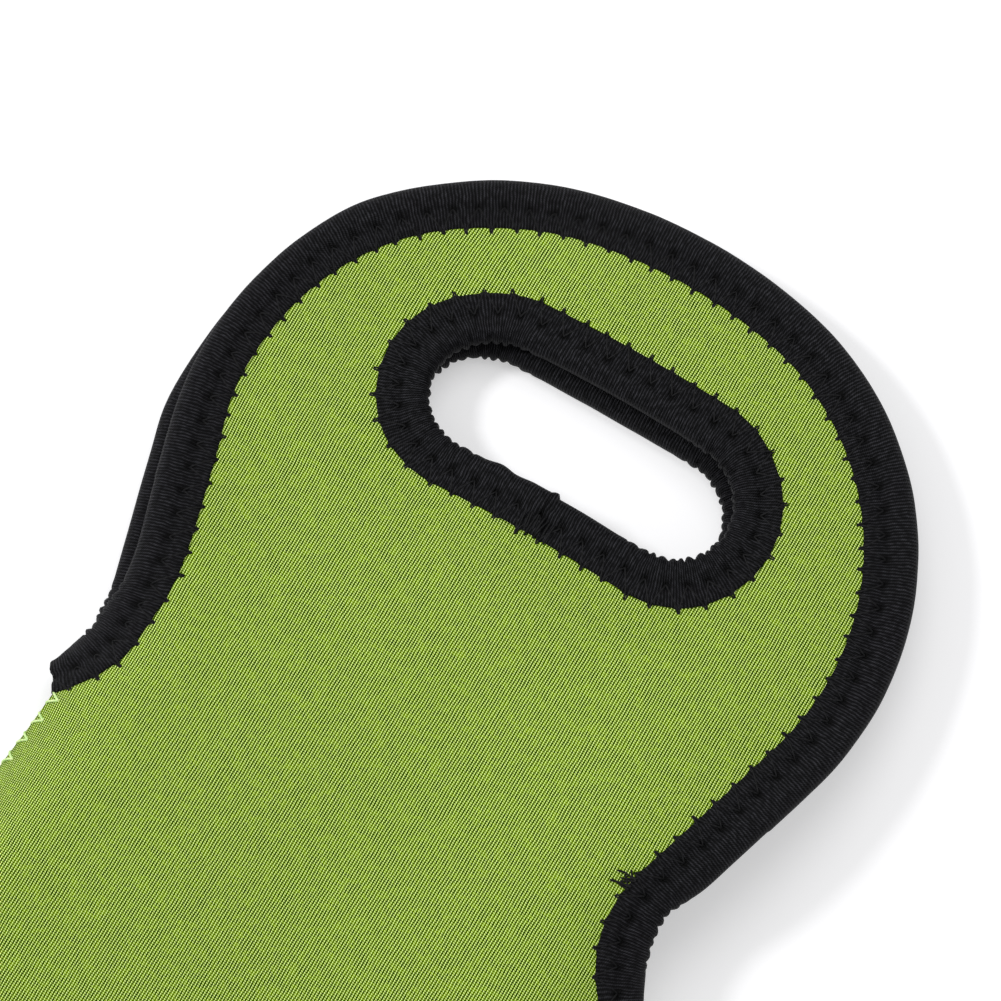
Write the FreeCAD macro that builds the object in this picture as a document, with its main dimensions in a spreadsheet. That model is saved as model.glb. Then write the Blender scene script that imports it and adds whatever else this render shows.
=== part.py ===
"""Soft carrier for one bottle: two laminated panels sewn into a pouch, each rising into a handle head.

It lies on its back. +Z is up, +Y runs towards the handles and the origin is under the middle of the part.
"""
import FreeCAD, Part
import math
import os

import Sketcher

Vector = FreeCAD.Vector
Rotation = FreeCAD.Rotation
ORIGIN = (-1, 1)
HORIZONTAL_AXIS, VERTICAL_AXIS = range(-1, -3, -1)
START, END, CENTRE = range(1, 4)
TOUCHING = 1e-4

# Driving dimensions, in millimetres and degrees
SIZES = (
    ("overall_length", 390.0),
    ("head_width", 148.0),
    ("crown_radius", 103.5),
    ("crown_angle", 13.2),
    ("neck_angle", 16.3),
    ("waist_inset", 12.7),
    ("waist_radius", 20.0),
    ("flare_angle", 42.0),
    ("slot_drop", 50.0),
    ("slot_length", 65.0),
    ("slot_height", 24.0),
    ("body_width", 132.0),
    ("shoulder_ease", 4.0),
    ("shoulder_length", 45.0),
    ("corner_radius", 28.0),
    ("mouth_rim_radius", 10.0),
    ("bottom_rim_radius", 18.0),
    ("mouth_gap", 8.8),
    ("knit_ply", 0.5),
    ("foam_ply", 2.4),
    ("lining_ply", 0.5),
    ("tape_thickness", 0.8),
    ("tape_cover", 10.2),
    ("tape_wrap", 1.2),
    ("tape_end_gap", 1.5),
    ("roll_flat", 0.3),
    ("thread_height", 0.35),
    ("thread_width", 0.6),
    ("stitch_pitch", 4.6),
    ("stitch_width", 5.0),
    ("seam_pitch", 4.6),
    ("seam_width", 4.4),
    ("seam_clearance", 0.15),
    ("fold_gap", 0.3),
    ("rest_gap", 0.5),
)

# Values worked out from the driving dimensions
DERIVED = (
    ("panel", "=Sizes.knit_ply + Sizes.foam_ply + Sizes.lining_ply"),
    ("bound", "=panel + 2 * Sizes.tape_thickness"),
    ("roll_radius", "=(bound - Sizes.roll_flat) / 2"),
    ("stitched", "=bound + 2 * Sizes.thread_height"),
    ("crown_sine", "=sin(Sizes.crown_angle)"),
    ("side_radius", "=(Sizes.head_width / 2 - Sizes.crown_radius * crown_sine) / (1 - crown_sine)"),
    ("side_x", "=Sizes.head_width / 2 - side_radius"),
    ("crown_y", "=Sizes.slot_drop - Sizes.crown_radius"),
    ("side_y", "=crown_y + (Sizes.crown_radius - side_radius) * cos(Sizes.crown_angle)"),
    ("bend_radii", "=side_radius + Sizes.waist_radius"),
    ("neck_run", "=(Sizes.waist_inset - bend_radii * (1 - cos(Sizes.neck_angle))) / sin(Sizes.neck_angle)"),
    ("waist_x", "=Sizes.head_width / 2 - Sizes.waist_inset + Sizes.waist_radius"),
    ("waist_y", "=side_y - bend_radii * sin(Sizes.neck_angle) - neck_run * cos(Sizes.neck_angle)"),
    ("fold_y", "=waist_y - Sizes.waist_radius * sin(Sizes.flare_angle)"),
    ("slot_y", "=Sizes.overall_length / 2 - Sizes.slot_drop"),
    ("mouth_y", "=slot_y + fold_y"),
    ("shoulder_rise", "=Sizes.shoulder_length ^ 2 + Sizes.shoulder_ease ^ 2"),
    ("shoulder_radius", "=shoulder_rise / (2 * Sizes.shoulder_ease)"),
    ("bottom_y", "=Sizes.seam_clearance + Sizes.thread_height - Sizes.overall_length / 2"),
    ("front_height", "=2 * panel + Sizes.mouth_gap"),
    ("crown_height", "=stitched + Sizes.rest_gap + panel + Sizes.tape_thickness + Sizes.thread_height"),
    ("front_tilt", "=asin((front_height - crown_height) / (Sizes.slot_drop - fold_y))"),
)

# Plies of a panel from its outer face inwards: name, depth of the ply's outer side, thickness
PLIES = (
    ("knit", "0", "Sizes.knit_ply"),
    ("foam", "Sizes.knit_ply", "Sizes.foam_ply"),
    ("lining", "Sizes.knit_ply + Sizes.foam_ply", "Sizes.lining_ply"),
)

doc = FreeCAD.newDocument("bottle_carrier")
nodes = []


def add_sheet(name, rows):
    """Write one value per row and give its cell the value's name."""
    page = doc.addObject("Spreadsheet::Sheet", name)
    for row, (alias, content) in enumerate(rows, start=1):
        page.set(f"A{row}", alias)
        page.set(f"B{row}", str(content))
        page.setAlias(f"B{row}", alias)
    doc.recompute()
    return page


sizes = add_sheet("Sizes", SIZES)
derived = add_sheet("Derived", DERIVED)


def value(alias):
    """Read a driving or derived value as a plain number."""
    page = sizes if alias in dict(SIZES) else derived
    number = getattr(page, alias)
    return float(getattr(number, "Value", number))


def worked_out(expression):
    """Work out a bound expression, so that a sketch is drawn where its dimensions will hold it."""
    return float(sizes.evalExpression(expression))


def polar(centre, radius, angle):
    """Point on a circle in the sketch plane, angle in radians."""
    return centre + Vector(math.cos(angle), math.sin(angle), 0) * radius


def arc(centre, radius, first, last):
    """Counter-clockwise arc in the sketch plane."""
    return Part.ArcOfCircle(Part.Circle(centre, Vector(0, 0, 1), radius), first, last)


def bind(sketch, constraint, expression):
    """Add a dimension to a sketch and tie it to the sheets."""
    index = sketch.addConstraint(constraint)
    sketch.setExpression(f"Constraints[{index}]", expression)


def head_curves(inset, end_y):
    """Arcs and lines round a handle head, from its right end over the crown to its left end.

    The run starts at the bound edge, moved inwards by inset, and stops at the height end_y.
    """
    side_r = value("side_radius") - inset
    waist_r = value("waist_radius") + inset
    neck = math.radians(value("neck_angle"))
    meet = math.pi / 2 - math.radians(value("crown_angle"))
    flare = math.asin((value("waist_y") - end_y) / waist_r)
    crown = Vector(0, value("crown_y"), 0)
    right_side = Vector(value("side_x"), value("side_y"), 0)
    right_waist = Vector(value("waist_x"), value("waist_y"), 0)
    left_side = Vector(-right_side.x, right_side.y, 0)
    left_waist = Vector(-right_waist.x, right_waist.y, 0)
    return [
        arc(right_waist, waist_r, math.pi - neck, math.pi + flare),
        Part.LineSegment(polar(right_waist, waist_r, math.pi - neck), polar(right_side, side_r, -neck)),
        arc(right_side, side_r, -neck, meet),
        arc(crown, value("crown_radius") - inset, meet, math.pi - meet),
        arc(left_side, side_r, math.pi - meet, math.pi + neck),
        Part.LineSegment(polar(left_waist, waist_r, neck), polar(left_side, side_r, math.pi + neck)),
        arc(left_waist, waist_r, -flare, neck),
    ]


def slot_curves(grow):
    """Arcs and lines round the hand slot, moved outwards by grow."""
    radius = value("slot_height") / 2 + grow
    reach = (value("slot_length") - value("slot_height")) / 2
    right = Vector(reach, 0, 0)
    left = Vector(-reach, 0, 0)
    quarter = math.pi / 2
    return [
        arc(right, radius, -quarter, quarter),
        Part.LineSegment(polar(right, radius, quarter), polar(left, radius, quarter)),
        arc(left, radius, quarter, 3 * quarter),
        Part.LineSegment(polar(left, radius, -quarter), polar(right, radius, -quarter)),
    ]


def body_curves(inset, top_y):
    """Arcs and lines round the pouch, from its right mouth corner round the bottom to the left one."""
    side_x = value("body_width") / 2 - inset
    shoulder_y = value("mouth_y") - value("shoulder_length")
    low_y = value("bottom_y") + inset
    corner_r = value("corner_radius") - inset
    shoulder_r = value("shoulder_radius")
    rise = math.asin((top_y - shoulder_y) / shoulder_r)
    right_shoulder = Vector(side_x - shoulder_r, shoulder_y, 0)
    left_shoulder = Vector(-right_shoulder.x, shoulder_y, 0)
    right_corner = Vector(side_x - corner_r, low_y + corner_r, 0)
    left_corner = Vector(-right_corner.x, right_corner.y, 0)
    down = -math.pi / 2
    return [
        arc(right_shoulder, shoulder_r, 0, rise),
        Part.LineSegment(Vector(side_x, shoulder_y, 0), polar(right_corner, corner_r, 0)),
        arc(right_corner, corner_r, down, 0),
        Part.LineSegment(polar(right_corner, corner_r, down), polar(left_corner, corner_r, down)),
        arc(left_corner, corner_r, math.pi, math.pi - down),
        Part.LineSegment(polar(left_corner, corner_r, math.pi), Vector(-side_x, shoulder_y, 0)),
        arc(left_shoulder, shoulder_r, math.pi - rise, math.pi),
    ]


def add_head(sketch, inset, end_y):
    """Draw the head run in a sketch and tie its radii and places to the sheets."""
    base = sketch.GeometryCount
    sketch.addGeometry(head_curves(worked_out(inset), worked_out(end_y)), False)
    right_waist, right_neck, right_side, crown, left_side, left_neck, left_waist = range(base, base + 7)
    for first, second in (
        ((right_waist, START), (right_neck, START)),
        ((right_neck, END), (right_side, START)),
        ((right_side, END), (crown, START)),
        ((crown, END), (left_side, START)),
        ((left_side, END), (left_neck, END)),
        ((left_neck, START), (left_waist, END)),
    ):
        sketch.addConstraint(Sketcher.Constraint("Tangent", *first, *second))
    sketch.addConstraint(Sketcher.Constraint("PointOnObject", crown, CENTRE, VERTICAL_AXIS))
    curves = sketch.Geometry
    crown_drop = Sketcher.Constraint("DistanceY", crown, CENTRE, *ORIGIN, -value("crown_y"))
    bind(sketch, crown_drop, "-Derived.crown_y")
    radius_of = (
        (crown, "Sizes.crown_radius - ({})"),
        (right_side, "Derived.side_radius - ({})"),
        (left_side, "Derived.side_radius - ({})"),
        (right_waist, "Sizes.waist_radius + ({})"),
        (left_waist, "Sizes.waist_radius + ({})"),
    )
    for index, formula in radius_of:
        bind(sketch, Sketcher.Constraint("Radius", index, curves[index].Radius), formula.format(inset))
    for right, left, alias in ((right_side, left_side, "side_x"), (right_waist, left_waist, "waist_x")):
        reach = value(alias)
        bind(sketch, Sketcher.Constraint("DistanceX", *ORIGIN, right, CENTRE, reach), f"Derived.{alias}")
        bind(sketch, Sketcher.Constraint("DistanceX", left, CENTRE, *ORIGIN, reach), f"Derived.{alias}")
    neck = math.radians(value("neck_angle"))
    bind(sketch, Sketcher.Constraint("Angle", right_neck, math.pi / 2 - neck), "90 - Sizes.neck_angle")
    bind(sketch, Sketcher.Constraint("Angle", left_neck, math.pi / 2 + neck), "90 + Sizes.neck_angle")
    for index, point in ((right_waist, END), (left_waist, START)):
        drop = Sketcher.Constraint("DistanceY", index, point, *ORIGIN, -worked_out(end_y))
        bind(sketch, drop, f"-({end_y})")
    return (right_waist, END), (left_waist, START)


def add_slot(sketch, grow):
    """Draw the hand slot in a sketch and tie its size to the sheets."""
    base = sketch.GeometryCount
    sketch.addGeometry(slot_curves(worked_out(grow)), False)
    right, top, left, low = range(base, base + 4)
    for first, second in ((right, top), (top, left), (left, low), (low, right)):
        sketch.addConstraint(Sketcher.Constraint("Tangent", first, END, second, START))
    reach = (value("slot_length") - value("slot_height")) / 2
    reach_formula = "(Sizes.slot_length - Sizes.slot_height) / 2"
    for index in (right, left):
        sketch.addConstraint(Sketcher.Constraint("PointOnObject", index, CENTRE, HORIZONTAL_AXIS))
    bind(sketch, Sketcher.Constraint("DistanceX", *ORIGIN, right, CENTRE, reach), reach_formula)
    bind(sketch, Sketcher.Constraint("DistanceX", left, CENTRE, *ORIGIN, reach), reach_formula)
    sketch.addConstraint(Sketcher.Constraint("Equal", right, left))
    radius = Sketcher.Constraint("Radius", right, sketch.Geometry[right].Radius)
    bind(sketch, radius, f"Sizes.slot_height / 2 + {grow}")


def add_pouch(sketch, inset, top_y):
    """Draw the pouch outline in a sketch, closed across the mouth, and tie its size to the sheets."""
    base = sketch.GeometryCount
    sketch.addGeometry(body_curves(worked_out(inset), worked_out(top_y)), False)
    right_shoulder, right, right_corner, low, left_corner, left, left_shoulder = range(base, base + 7)
    for first, second in (
        ((right_shoulder, START), (right, START)),
        ((right, END), (right_corner, END)),
        ((right_corner, START), (low, START)),
        ((low, END), (left_corner, END)),
        ((left_corner, START), (left, START)),
        ((left, END), (left_shoulder, END)),
    ):
        sketch.addConstraint(Sketcher.Constraint("Tangent", *first, *second))
    for line in (right, left):
        sketch.addConstraint(Sketcher.Constraint("Vertical", line))
    sketch.addConstraint(Sketcher.Constraint("Horizontal", low))
    half_body = value("body_width") / 2 - worked_out(inset)
    half_formula = f"Sizes.body_width / 2 - ({inset})"
    bind(sketch, Sketcher.Constraint("DistanceX", *ORIGIN, right, START, half_body), half_formula)
    bind(sketch, Sketcher.Constraint("DistanceX", left, END, *ORIGIN, half_body), half_formula)
    for index in (right_shoulder, left_shoulder):
        shoulder = Sketcher.Constraint("Radius", index, value("shoulder_radius"))
        bind(sketch, shoulder, "Derived.shoulder_radius")
    for index in (right_corner, left_corner):
        corner = Sketcher.Constraint("Radius", index, sketch.Geometry[index].Radius)
        bind(sketch, corner, f"Sizes.corner_radius - ({inset})")
    depth = -value("bottom_y") - worked_out(inset)
    low_place = Sketcher.Constraint("DistanceY", low, START, *ORIGIN, depth)
    bind(sketch, low_place, f"-Derived.bottom_y - ({inset})")
    shoulder_y = value("mouth_y") - value("shoulder_length")
    shoulder_place = "Derived.mouth_y - Sizes.shoulder_length"
    for index, point in ((right, START), (left, END)):
        bind(sketch, Sketcher.Constraint("DistanceY", *ORIGIN, index, point, shoulder_y), shoulder_place)
    ends = ((right_shoulder, END), (left_shoulder, START))
    for index, point in ends:
        bind(sketch, Sketcher.Constraint("DistanceY", *ORIGIN, index, point, worked_out(top_y)), top_y)
    close_gap(sketch, *ends)


def close_gap(sketch, first, second):
    """Join two open ends of a sketch with a straight line."""
    line = Part.LineSegment(sketch.getPoint(*first), sketch.getPoint(*second))
    index = sketch.addGeometry(line, False)
    sketch.addConstraint(Sketcher.Constraint("Coincident", index, START, *first))
    sketch.addConstraint(Sketcher.Constraint("Coincident", index, END, *second))


def new_body(label):
    """Empty body named after its node."""
    body = doc.addObject("PartDesign::Body", label)
    body.Label = label
    return body


def new_sketch(body, name, level="0"):
    """Empty sketch parallel to the floor at a level of its body."""
    sketch = body.newObject("Sketcher::SketchObject", name)
    plane = next(item for item in body.Origin.OriginFeatures if item.Role == "XY_Plane")
    sketch.AttachmentSupport = (plane, "")
    sketch.MapMode = "FlatFace"
    sketch.setExpression("AttachmentOffset.Base.z", level)
    return sketch


def pad(body, sketch, length):
    """Raise a sketch upwards by a bound length."""
    feature = body.newObject("PartDesign::Pad", f"{sketch.Name}_pad")
    feature.Profile = sketch
    feature.setExpression("Length", length)
    doc.recompute()
    return feature


def channel(body, sketch, length):
    """Cut a sketch upwards by a bound length and make sure that it removed material."""
    before = body.Shape.Volume
    feature = body.newObject("PartDesign::Pocket", f"{sketch.Name}_cut")
    feature.Profile = sketch
    feature.Reversed = True
    feature.setExpression("Length", length)
    doc.recompute()
    if body.Shape.Volume >= before:
        raise RuntimeError(f"{feature.Name} removed nothing")
    return feature


def round_edges(body, feature, line, name):
    """Round every edge that runs level along a line of the outline, which makes the tape's folded edge."""
    chosen = []
    for number, edge in enumerate(feature.Shape.Edges, start=1):
        middle = edge.valueAt((edge.FirstParameter + edge.LastParameter) / 2)
        ends = [vertex.Point for vertex in edge.Vertexes]
        level = abs(ends[0].z - ends[-1].z) < TOUCHING
        flat = Part.Vertex(middle.x, middle.y, 0)
        if level and line.distToShape(flat)[0] < TOUCHING:
            chosen.append(f"Edge{number}")
    fillet = body.newObject("PartDesign::Fillet", name)
    fillet.Base = (feature, chosen)
    fillet.setExpression("Radius", "Derived.roll_radius")
    doc.recompute()


def place(shape_object, placement):
    """Set a sub-part where it belongs and list it for export."""
    shape_object.Placement = placement
    nodes.append(shape_object)


def head_placement(side):
    """Frame of a handle head: origin at the slot's middle on the outer face, local +Z into the pouch."""
    if side == "back":
        lift = value("tape_thickness") + value("thread_height")
        return FreeCAD.Placement(Vector(0, value("slot_y"), lift), Rotation())
    turn = Rotation(Vector(1, 0, 0), -value("front_tilt")).multiply(Rotation(Vector(0, 1, 0), 180))
    fold = Vector(0, value("mouth_y"), value("front_height"))
    return FreeCAD.Placement(fold - turn.multVec(Vector(0, value("fold_y"), 0)), turn)


def head_ply(side, ply, level, thickness):
    """One ply of a handle head, cut off at the fold."""
    body = new_body(f"{side}_handle_{ply}")
    sketch = new_sketch(body, f"{body.Label}_outline", level)
    ends = add_head(sketch, "Sizes.tape_wrap", "Derived.fold_y + Sizes.fold_gap / 2")
    close_gap(sketch, *ends)
    add_slot(sketch, "Sizes.tape_wrap")
    pad(body, sketch, thickness)
    place(body, head_placement(side))


def edge_binding(side):
    """Tape folded over the head's outer edge, from one mouth corner to the other."""
    body = new_body(f"{side}_edge_binding")
    tape_end = "Derived.fold_y + Sizes.tape_end_gap"
    tape = new_sketch(body, f"{body.Label}_tape", "-Sizes.tape_thickness")
    outer = add_head(tape, "0", tape_end)
    inner = add_head(tape, "Sizes.tape_cover", tape_end)
    close_gap(tape, outer[0], inner[0])
    close_gap(tape, outer[1], inner[1])
    pad(body, tape, "Derived.bound")
    gap_end = "Derived.fold_y"
    gap = new_sketch(body, f"{body.Label}_gap")
    outer = add_head(gap, "Sizes.tape_wrap", gap_end)
    inner = add_head(gap, "Sizes.tape_cover + Sizes.tape_wrap", gap_end)
    close_gap(gap, outer[0], inner[0])
    close_gap(gap, outer[1], inner[1])
    cut = channel(body, gap, "Derived.panel")
    curves = head_curves(0, worked_out(tape_end))
    round_edges(body, cut, Part.Compound([curve.toShape() for curve in curves]), f"{body.Label}_roll")
    place(body, head_placement(side))


def slot_binding(side):
    """Tape folded over the edge of the hand slot."""
    body = new_body(f"{side}_slot_binding")
    tape = new_sketch(body, f"{body.Label}_tape", "-Sizes.tape_thickness")
    add_slot(tape, "Sizes.tape_cover")
    add_slot(tape, "0")
    pad(body, tape, "Derived.bound")
    gap = new_sketch(body, f"{body.Label}_gap")
    add_slot(gap, "Sizes.tape_cover + Sizes.tape_wrap")
    add_slot(gap, "Sizes.tape_wrap")
    cut = channel(body, gap, "Derived.panel")
    curves = slot_curves(0)
    round_edges(body, cut, Part.Compound([curve.toShape() for curve in curves]), f"{body.Label}_roll")
    place(body, head_placement(side))


def zigzag(count, closed, width):
    """Vertices of a zigzag as pairs: place along the run in half pitches, and height across it."""
    last = count if closed else count + 1
    return [(step, width / 2 if step % 2 else -width / 2) for step in range(last)]


def mitred(points, half_width, closed):
    """Both edges of a thread of even width that follows a flat line of points."""
    count = len(points)
    left = []
    right = []
    for index, point in enumerate(points):
        before = points[index - 1] if closed or index else None
        after = points[(index + 1) % count] if closed or index < count - 1 else None
        normals = []
        for first, second in ((before, point), (point, after)):
            if first is None or second is None:
                continue
            run = (second - first).normalize()
            normals.append(Vector(-run.y, run.x, 0))
        if len(normals) == 1:
            normals.append(normals[0])
        miter = (normals[0] + normals[1]) / (1 + normals[0].dot(normals[1]))
        left.append(point + miter * half_width)
        right.append(point - miter * half_width)
    return left, right


def flat_thread(wire, closed):
    """Zigzag thread on both faces of a bound edge, in the head's frame."""
    half_pitches = max(2, 2 * round(wire.Length / value("stitch_pitch")))
    samples = wire.discretize(Number=half_pitches + 1)
    points = []
    for step, across in zigzag(half_pitches, closed, value("stitch_width")):
        ahead = samples[(step + 1) % half_pitches] if closed else samples[min(step + 1, half_pitches)]
        behind = samples[step - 1] if step or closed else samples[0]
        if closed and step == 0:
            behind = samples[half_pitches - 1]
        run = (ahead - behind).normalize()
        points.append(samples[step] + Vector(-run.y, run.x, 0) * across)
    left, right = mitred(points, value("thread_width") / 2, closed)
    if closed:
        rings = [Part.makePolygon(edge + edge[:1]) for edge in (left, right)]
        rings.sort(key=lambda ring: ring.BoundBox.DiagonalLength, reverse=True)
        face = Part.Face(rings)
    else:
        outline = left + right[::-1]
        face = Part.Face(Part.makePolygon(outline + outline[:1]))
    face.validate()
    rise = Vector(0, 0, value("thread_height"))
    outer_level = -value("tape_thickness") - value("thread_height")
    inner_level = value("panel") + value("tape_thickness")
    threads = []
    for level in (outer_level, inner_level):
        layer = face.copy()
        layer.translate(Vector(0, 0, level))
        threads.append(layer.extrude(rise))
    return Part.Compound(threads)


def head_thread(side, run, curves, closed):
    """Thread that holds one binding, laid on the tape along its inner edge."""
    wire = Part.Wire(Part.__sortEdges__([curve.toShape() for curve in curves]))
    thread = doc.addObject("Part::Feature", f"{side}_{run}_stitching")
    thread.Label = thread.Name
    thread.Shape = flat_thread(wire, closed)
    place(thread, head_placement(side))


def stitch_line():
    """Distance from the bound edge to the middle of the zigzag."""
    return value("tape_cover") - value("stitch_width") / 2 - value("thread_width")


def back_panel(ply, level, thickness):
    """One flat ply of the back of the pouch, which lies on the floor."""
    body = new_body(f"back_body_{ply}")
    sketch = new_sketch(body, f"{body.Label}_outline", level)
    add_pouch(sketch, "0", "Derived.mouth_y - Sizes.fold_gap / 2")
    pad(body, sketch, thickness)
    place(body, FreeCAD.Placement())


def rim_radius(y):
    """Radius of the front panel's rounded rim, which grows evenly from the mouth to the bottom corners."""
    start = value("mouth_y")
    run = start - value("bottom_y") - value("corner_radius")
    share = min(max((start - y) / run, 0), 1)
    return value("mouth_rim_radius") + share * (value("bottom_rim_radius") - value("mouth_rim_radius"))


def front_tray(label, depth, spare):
    """Solid under one surface of the front panel: depth is how far that surface lies below the outer face.

    The solid runs on past the mouth and below the joint of the panels by spare, so that a deeper solid
    cuts cleanly through a shallower one before both are trimmed.
    """
    outline = new_body(f"{label}_plan")
    sketch = new_sketch(outline, f"{label}_outline", f"Derived.panel - {spare}")
    add_pouch(sketch, depth, f"Derived.mouth_y + {spare}")
    pad(outline, sketch, "2 * Derived.front_height")
    lid = doc.addObject("Part::Box", f"{label}_lid")
    lid.setExpression("Length", "2 * Sizes.body_width")
    lid.setExpression("Width", "2 * Sizes.overall_length")
    lid.setExpression("Height", "4 * Derived.front_height")
    doc.recompute()
    tilt = Rotation(Vector(1, 0, 0), -value("front_tilt"))
    corner = Vector(-lid.Length.Value / 2, -lid.Width.Value / 2, -lid.Height.Value - worked_out(depth))
    fold = Vector(0, value("mouth_y"), value("front_height"))
    lid.Placement = FreeCAD.Placement(fold + tilt.multVec(corner), tilt)
    block = doc.addObject("Part::Common", f"{label}_block")
    block.Base = outline
    block.Tool = lid
    doc.recompute()
    normal = tilt.multVec(Vector(0, 0, 1))
    edges = []
    for number, edge in enumerate(block.Shape.Edges, start=1):
        middle = edge.valueAt((edge.FirstParameter + edge.LastParameter) / 2)
        on_top = abs((middle - fold).dot(normal) + worked_out(depth)) < TOUCHING
        if on_top and middle.y < value("mouth_y"):
            first, last = [rim_radius(vertex.Point.y) - worked_out(depth) for vertex in edge.Vertexes]
            edges.append((number, first, last))
    tray = doc.addObject("Part::Fillet", f"{label}_round")
    tray.Base = block
    tray.Edges = edges
    doc.recompute()
    return tray


def front_panel():
    """Three plies of the front of the pouch, domed over the pocket and open at the mouth."""
    surfaces = [(f"under_{ply}", depth) for ply, depth, _ in PLIES]
    surfaces.append(("pocket", "Derived.panel"))
    trays = []
    for count, (label, depth) in enumerate(surfaces, start=1):
        trays.append(front_tray(label, depth, f"{count} * Sizes.fold_gap"))
    for (ply, _, _), upper, lower in zip(PLIES, trays, trays[1:]):
        shell = doc.addObject("Part::Cut", f"front_shell_{ply}")
        shell.Base = upper
        shell.Tool = lower
        keep = doc.addObject("Part::Box", f"front_keep_{ply}")
        keep.setExpression("Length", "2 * Sizes.body_width")
        keep.setExpression("Width", "Sizes.overall_length")
        keep.setExpression("Height", "4 * Derived.front_height")
        keep.setExpression("Placement.Base.x", "-Sizes.body_width")
        keep.setExpression("Placement.Base.y", "Derived.mouth_y - Sizes.fold_gap / 2 - Sizes.overall_length")
        keep.setExpression("Placement.Base.z", "Derived.panel")
        panel = doc.addObject("Part::Common", f"front_body_{ply}")
        panel.Base = shell
        panel.Tool = keep
        panel.Label = panel.Name
        doc.recompute()
        place(panel, FreeCAD.Placement())


def outward_point(wire_edges, distance):
    """Point and outward direction at a distance along a run of edges."""
    left = distance
    for edge in wire_edges:
        if left <= edge.Length or edge is wire_edges[-1]:
            parameter = edge.getParameterByLength(min(max(left, 0), edge.Length))
            run = edge.tangentAt(parameter)
            return edge.valueAt(parameter), Vector(run.y, -run.x, 0)
        left -= edge.Length
    raise RuntimeError("run has no edges")


def seam_thread(label, curves):
    """Zigzag thread over the joint of the two panels, wrapped round the pouch's upright edge."""
    edges = [curve.toShape() for curve in curves]
    length = sum(edge.Length for edge in edges)
    inset = value("thread_width")
    half_pitches = 2 * round((length - 2 * inset) / value("seam_pitch"))
    step_length = (length - 2 * inset) / half_pitches
    corners = zigzag(half_pitches, False, value("seam_width"))
    flat = [Vector(inset + step * step_length, height, 0) for step, height in corners]
    left, right = mitred(flat, value("thread_width") / 2, False)
    near = value("seam_clearance")
    far = near + value("thread_height")
    rings = []
    for first, second in zip(left, right):
        ring = []
        for point, reach in ((first, near), (first, far), (second, far), (second, near)):
            foot, outward = outward_point(edges, point.x)
            ring.append(foot + outward * reach + Vector(0, 0, value("panel") + point.y))
        rings.append(ring)
    faces = []
    for ring, following in zip(rings, rings[1:]):
        for corner in range(4):
            beside = (corner + 1) % 4
            faces.append((ring[corner], ring[beside], following[beside]))
            faces.append((ring[corner], following[beside], following[corner]))
    for ring in (rings[0], rings[-1]):
        faces.append((ring[0], ring[1], ring[2]))
        faces.append((ring[0], ring[2], ring[3]))
    shell = Part.makeShell([Part.Face(Part.makePolygon(face + face[:1])) for face in faces])
    solid = Part.makeSolid(shell)
    solid.fix(TOUCHING, TOUCHING, TOUCHING)
    if solid.Volume < 0:
        solid.reverse()
    thread = doc.addObject("Part::Feature", label)
    thread.Label = label
    thread.Shape = solid
    place(thread, FreeCAD.Placement())


def seams():
    """Threads down both sides and round the bottom, drawn from the left mouth corner to the right one."""
    top_y = value("mouth_y") - value("tape_end_gap")
    shoulder, side, corner, low, left_corner, left_side, left_shoulder = body_curves(0, top_y)
    seam_thread("left_side_seam", [left_shoulder, flipped(left_side)])
    seam_thread("bottom_seam", [left_corner, flipped(low), corner])
    seam_thread("right_side_seam", [flipped(side), shoulder])


def flipped(line):
    """The same straight line, run the other way."""
    return Part.LineSegment(line.EndPoint, line.StartPoint)


def build():
    """Make every sub-part of the carrier."""
    for ply, level, thickness in PLIES:
        back_panel(ply, level, thickness)
    front_panel()
    seams()
    for side in ("front", "back"):
        for ply, level, thickness in PLIES:
            head_ply(side, ply, level, thickness)
        edge_binding(side)
        slot_binding(side)
        thread_end = value("fold_y") + value("tape_end_gap") + value("thread_width")
        head_thread(side, "edge", head_curves(stitch_line(), thread_end), False)
        head_thread(side, "slot", slot_curves(stitch_line()), True)


def check_and_write():
    """Stop on any failed object or bad shape, then write one file per sub-part."""
    doc.recompute()
    for item in doc.Objects:
        if "Invalid" in item.State or "Error" in item.State:
            raise RuntimeError(f"{item.Name} failed: {item.State}")
    os.makedirs("parts", exist_ok=True)
    for node in nodes:
        shape = node.Shape
        if shape.isNull() or not shape.isValid() or shape.Volume <= 0:
            raise RuntimeError(f"{node.Label} has no sound shape")
    for node in nodes:
        node.Shape.exportStep(f"parts/{node.Label}.step")
        box = node.Shape.BoundBox
        print(f"{node.Label}: {len(node.Shape.Solids)} solids, {node.Shape.Volume / 1000:.2f} cm3, "
              f"y {box.YMin:.1f} to {box.YMax:.1f}, z {box.ZMin:.2f} to {box.ZMax:.2f}")
    print(f"front tilt {value('front_tilt'):.3f}, mouth y {value('mouth_y'):.3f}, "
          f"fold height {value('front_height'):.3f}, slot y {value('slot_y'):.3f}")


build()
check_and_write()
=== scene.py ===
"""Soft bottle carrier lying on its back: two laminated panels sewn into a pouch, each with a bound handle head."""
from __future__ import annotations

import logging
import math
import random
from dataclasses import dataclass, field
from enum import Enum
from functools import cached_property, lru_cache
from typing import Callable, Iterator, Union

import bmesh
import bpy
from mathutils import Matrix, Vector, noise


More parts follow.
